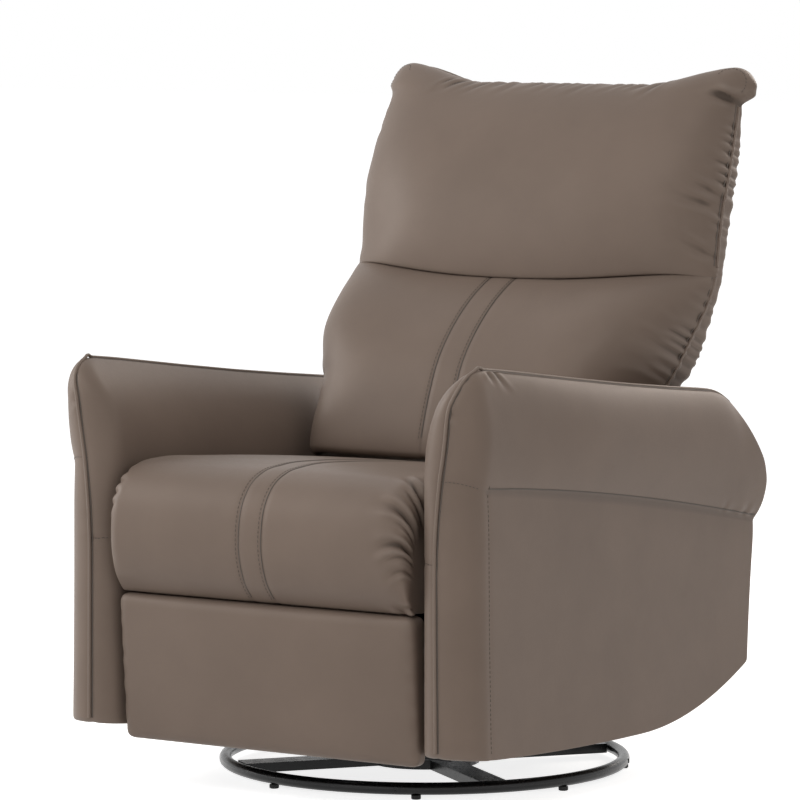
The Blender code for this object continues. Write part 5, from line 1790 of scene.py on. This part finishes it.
        # painted seam shade: dark thread-coloured cords beside the piping and along the seam under the pad
        seams = [laid(self.welt_line(self.shade_line_aside * self.side.value), 0.0), laid(self.pad_seam(), 0.0)]
        settle(piping(f"arm_seams_{word}", seams, self.seam_shade_radius, thread), "chair", Slot.FABRIC)
        runs = [(surface, line) for line in self.stitch_lines()]
        settle(STITCH.sew(f"arm_stitches_{word}", runs, thread), "chair", Slot.FABRIC)

    def pad_seam(self) -> Array:
        """Line of the seam under the pad, on the outside."""
        y = np.linspace(self.stitch_y, self.rear_seam - 0.004, 120)
        return np.column_stack([np.full_like(y, self.side.value * 0.36), y, self.seam_z(y)])

    def stitch_lines(self) -> list[Array]:
        """Lines of the visible stitches: behind the nose, under the pad across it, and inside it.

        Returns:
            One line of points for each row.
        """
        sign = self.side.value
        z = np.linspace(*self.stitch_run, 80)
        lines = [np.column_stack([np.full_like(z, sign * 0.37), np.full_like(z, self.stitch_y), z])]
        for end, start, height in ((1.0, 0.08, None), (0.0, 0.12, self.inside_stitch_z)):
            across = blend(self.crest_across, end, np.linspace(start, 0.96, 24))
            y = self.crest + self.nose(across)
            level = self.seam_z(y) if height is None else np.full_like(y, height)
            lines.append(np.column_stack([sign * blend(self.inner, self.outer, across), y - 0.004, level]))
        return lines


@dataclass
class RearPanel:
    """Upholstered panel across the rear, between the arms."""

    palette: Palette
    half: float = 0.2626
    low: float = 0.150
    high: float = 0.405
    thickness: float = 0.020
    foot: tuple[float, float] = (0.335, 0.147)
    seam: tuple[float, float] = (0.362, 0.358)
    inset: float = 0.014
    crown: float = 0.005
    stitch_half: float = 0.245
    stitch_drop: float = 0.016
    gathers: Gathers = Gathers(81, -0.25, 0.26, 0.060, 0.030, 0.0090, 0.0016)

    def form(self, unit: Array) -> Array:
        """Form of the panel, which leans with the arms' rear edges.

        Args:
            unit: Points of the lattice.

        Returns:
            Chair places.
        """
        u, v, w = unit.T
        z = blend(self.low, self.high, (w + 1) / 2)
        outer = blend(self.foot[0], self.seam[0], (z - self.foot[1]) / (self.seam[1] - self.foot[1])) - self.inset
        swell = self.crown * (1 - u**4) * (1 - w**4)
        return np.stack([u * self.half, outer - (self.thickness * (1 - v) / 2) + swell * (v + 1) / 2, z], axis=1)

    def relief(self, unit: Array, places: Array) -> Array:
        """Faint gathers along the panel's edges.

        Args:
            unit: Points of the lattice.
            places: Their chair places.

        Returns:
            Height of the relief at each point, below 0 in its hollows.
        """
        rear = smooth(0.0, 0.8, unit[:, 1])
        x, z = places[:, 0], places[:, 2]
        rows = self.gathers.folds()
        depth = tucked(x, self.high - z, rows) + tucked(x, z - self.low, rows)
        return -rear * depth

    def build(self) -> None:
        """Builds and settles the panel."""
        half = (self.half, self.thickness / 2, (self.high - self.low) / 2)
        form = PaddedForm("rear_panel_cover", half, 0.007, (70, 7, 38), self.form, self.relief)
        panel = settle(form.build(self.palette.fabric, 0.9), "chair", Slot.FABRIC, "rear_panel")
        x = np.linspace(-self.stitch_half, self.stitch_half, 80)
        run = np.column_stack([x, np.full_like(x, 0.37), np.full_like(x, self.high - self.stitch_drop)])
        stitches = STITCH.sew("rear_panel_stitches", [(surface_of(panel), run)], self.palette.thread)
        settle(stitches, "chair", Slot.FABRIC)


# ---------------------------------------------------------------- base and mechanism


@dataclass
class RingBase:
    """Gloss black tube ring on the floor."""

    palette: Palette
    radius: float = 0.295
    tube: float = 0.009
    height: float = 0.015
    hole_radius: float = 0.0036
    hole_depth: float = 0.0022
    collar: float = 0.003
    lip: float = 0.0008
    hole_turns: tuple[float, ...] = (-64.0, 26.0, 116.0, 206.0)

    def hole(self, turn: float) -> bpy.types.Object:
        """Models a rolled hole in the tube's outer side.

        Args:
            turn: Its angle round the ring, in degrees.

        Returns:
            The hole's collar.
        """
        deselect_all()
        bpy.ops.mesh.primitive_cylinder_add(vertices=20, radius=self.hole_radius, depth=self.collar)
        collar = bpy.context.active_object
        bpy.context.tool_settings.mesh_select_mode = (False, False, True)
        bpy.ops.object.mode_set(mode="EDIT")
        bpy.ops.mesh.select_all(action="DESELECT")
        grid = bmesh.from_edit_mesh(collar.data)
        for face in grid.faces:
            face.select_set(face.normal.z > 0.9)
        bmesh.update_edit_mesh(collar.data)
        bpy.ops.mesh.inset(thickness=self.lip)
        bpy.ops.mesh.extrude_region_move(TRANSFORM_OT_translate={"value": (0, 0, -self.hole_depth)})
        bpy.ops.object.mode_set(mode="OBJECT")
        angle = math.radians(turn)
        reach = self.radius + self.tube - self.lip
        collar.rotation_euler = (math.pi / 2, 0.0, angle + math.pi / 2)
        collar.location = (reach * math.cos(angle), reach * math.sin(angle), self.height)
        make_active(collar)
        bpy.ops.object.transform_apply(location=True, rotation=True, scale=True)
        return collar

    def build(self) -> None:
        """Builds and settles the ring."""
        deselect_all()
        bpy.ops.mesh.primitive_torus_add(major_segments=180, minor_segments=24, major_radius=self.radius,
                                         minor_radius=self.tube, location=(0.0, 0.0, self.height))
        ring = bpy.context.active_object
        ring.name = ring.data.name = "base_ring_tube"
        make_active(ring)
        bpy.ops.object.transform_apply(location=True, rotation=True, scale=True)
        collars = [self.hole(turn) for turn in self.hole_turns]
        make_active(ring)
        for collar in collars:
            collar.select_set(True)
        bpy.ops.object.join()
        give_finish(ring.data, self.palette.by_slot[Slot.GLOSS_STEEL])
        bpy.ops.object.shade_smooth_by_angle(angle=math.radians(40))
        settle(ring, "base", Slot.GLOSS_STEEL, "base_ring")
        LOG.info("%s: %d faces", ring.name, len(ring.data.polygons))


@dataclass
class RockerSpring:
    """Coil spring between the turntable and the rocking chair, which stretches with the rock."""

    palette: Palette
    node: bpy.types.Object
    wire: float = 0.007
    turns: int = 4
    flat_turns: float = 0.75

    def build(self) -> None:
        """Builds the spring in the place of its CAD node."""
        places = read_places(self.node.data) @ np.array(self.node.matrix_world.to_3x3()).T
        places = places + np.array(self.node.matrix_world.translation)
        least, most = places.min(axis=0), places.max(axis=0)
        middle, radius = (least + most) / 2, (most[0] - least[0] - self.wire) / 2
        turn = np.linspace(0.0, self.turns, self.turns * 28 + 1)
        rise = np.clip((turn - self.flat_turns) / (self.turns - 2 * self.flat_turns), 0.0, 1.0)
        z = blend(least[2] + self.wire / 2, most[2] - self.wire / 2, rise)
        angle = 2 * math.pi * turn
        path = np.column_stack([middle[0] + radius * np.cos(angle), middle[1] + radius * np.sin(angle), z])
        spring = piping(f"{self.node.name}_coil", [ease_path(path, 6)], self.wire / 2,
                        self.palette.by_slot[Slot.ZINC])
        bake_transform(spring)
        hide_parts(self.node.name)


def dress_frame(nodes: dict[str, bpy.types.Object], palette: Palette) -> None:
    """Gives every CAD node the finish of its slot.

    Args:
        nodes: The loaded CAD nodes.
        palette: The finishes.
    """
    for name, node in nodes.items():
        for place, material in enumerate(node.data.materials):
            slot = Slot(material.name.split(".")[0])
            node.data.materials[place] = palette.by_slot[slot]
            LOG.debug("%s: %s", name, slot.value)


# ---------------------------------------------------------------- studio


@dataclass(frozen=True)
class Softbox:
    """A square soft lamp."""

    name: str
    place: Point
    size: float
    power: float
    tint: Colour = (1.0, 1.0, 1.0)


@dataclass
class Studio:
    """Camera, floor and soft light."""

    eye: Point = (4.1516, -6.1996, 1.1972)
    aim: Point = (-0.0300, -0.0203, 0.5452)
    lens: float = 228.72
    sensor: float = 36.0
    ambient: float = 0.38
    lamp_aim: Point = (0.0, 0.0, 0.5)
    lamps: tuple[Softbox, ...] = (
        Softbox("key_softbox", (0.4, -2.6, 3.6), 2.4, 36.0),
        Softbox("front_softbox", (0.2, -3.8, 2.0), 2.6, 14.0),
        Softbox("left_softbox", (-2.8, -1.2, 1.6), 1.8, 54.0),
        Softbox("right_softbox", (2.8, -1.4, 1.8), 2.0, 8.0, (1.0, 0.94, 0.88)),
        Softbox("rear_softbox", (0.6, 3.0, 2.4), 2.2, 56.0, (1.0, 0.91, 0.83)))
    floor_size: float = 60.0
    floor_colour: Colour = (0.80, 0.80, 0.80)
    floor_glow: float = 0.82

    def aim_at(self, item: bpy.types.Object, target: Point) -> None:
        """Turns an object's -Z axis to a point."""
        item.rotation_euler = (Vector(target) - item.location).to_track_quat("-Z", "Y").to_euler()

    def camera(self) -> None:
        """Adds the camera of the photograph's view."""
        data = bpy.data.cameras.new("view")
        data.lens, data.sensor_width, data.clip_end = self.lens, self.sensor, 200.0
        camera = bpy.data.objects.new("view", data)
        camera.location = self.eye
        bpy.context.scene.collection.objects.link(camera)
        self.aim_at(camera, self.aim)
        bpy.context.scene.camera = camera

    def lights(self) -> None:
        """Adds the soft boxes and the even light of the room."""
        for box in self.lamps:
            data = bpy.data.lights.new(box.name, "AREA")
            data.size, data.energy, data.color = box.size, box.power, box.tint
            lamp = bpy.data.objects.new(box.name, data)
            lamp.location = box.place
            bpy.context.scene.collection.objects.link(lamp)
            self.aim_at(lamp, self.lamp_aim)
        world = bpy.data.worlds.new("room")
        bpy.context.scene.world = world
        world.use_nodes = True
        sheet = NodeSheet(world.node_tree)
        sheet.feed(world.node_tree.nodes["Background"],
                   {"Color": rgba((1.0, 1.0, 1.0)), "Strength": sheet.by_ray(self.ambient, 1.0)})

    def floor(self) -> None:
        """Adds the pale floor, which looks white and keeps the chair's shadow."""
        deselect_all()
        bpy.ops.mesh.primitive_plane_add(size=self.floor_size)
        floor = bpy.context.active_object
        floor.name = "studio_floor"
        material, sheet, shader = new_material("pale_floor", self.floor_colour)
        sheet.feed(shader, {"Base Color": rgba(self.floor_colour), "Roughness": 0.9, "Specular IOR Level": 0.0,
                            "Emission Color": rgba((1.0, 1.0, 1.0)),
                            "Emission Strength": sheet.by_ray(0.0, self.floor_glow)})
        floor.data.materials.append(material)

    def build(self) -> None:
        """Sets up the studio."""
        bpy.context.scene.view_settings.view_transform = "Standard"
        self.camera()
        self.lights()
        self.floor()


def main() -> None:
    """Builds the chair around its frame, piece by piece."""
    logging.basicConfig(level=logging.INFO, format="%(name)s: %(message)s")
    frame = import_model()
    Studio().build()
    palette = Palette()
    dress_frame(frame["nodes"], palette)
    RingBase(palette).build()
    for end in ("front", "rear"):
        RockerSpring(palette, frame["nodes"][f"rocker_spring_{end}"]).build()
    BackRest(palette).build()
    SeatCushion(palette).build()
    Footrest(palette).build()
    Arm(palette, Side.LEFT).build()
    Arm(palette, Side.RIGHT, drop=0.012).build()
    RearPanel(palette).build()


if __name__ == "__main__":
    main()
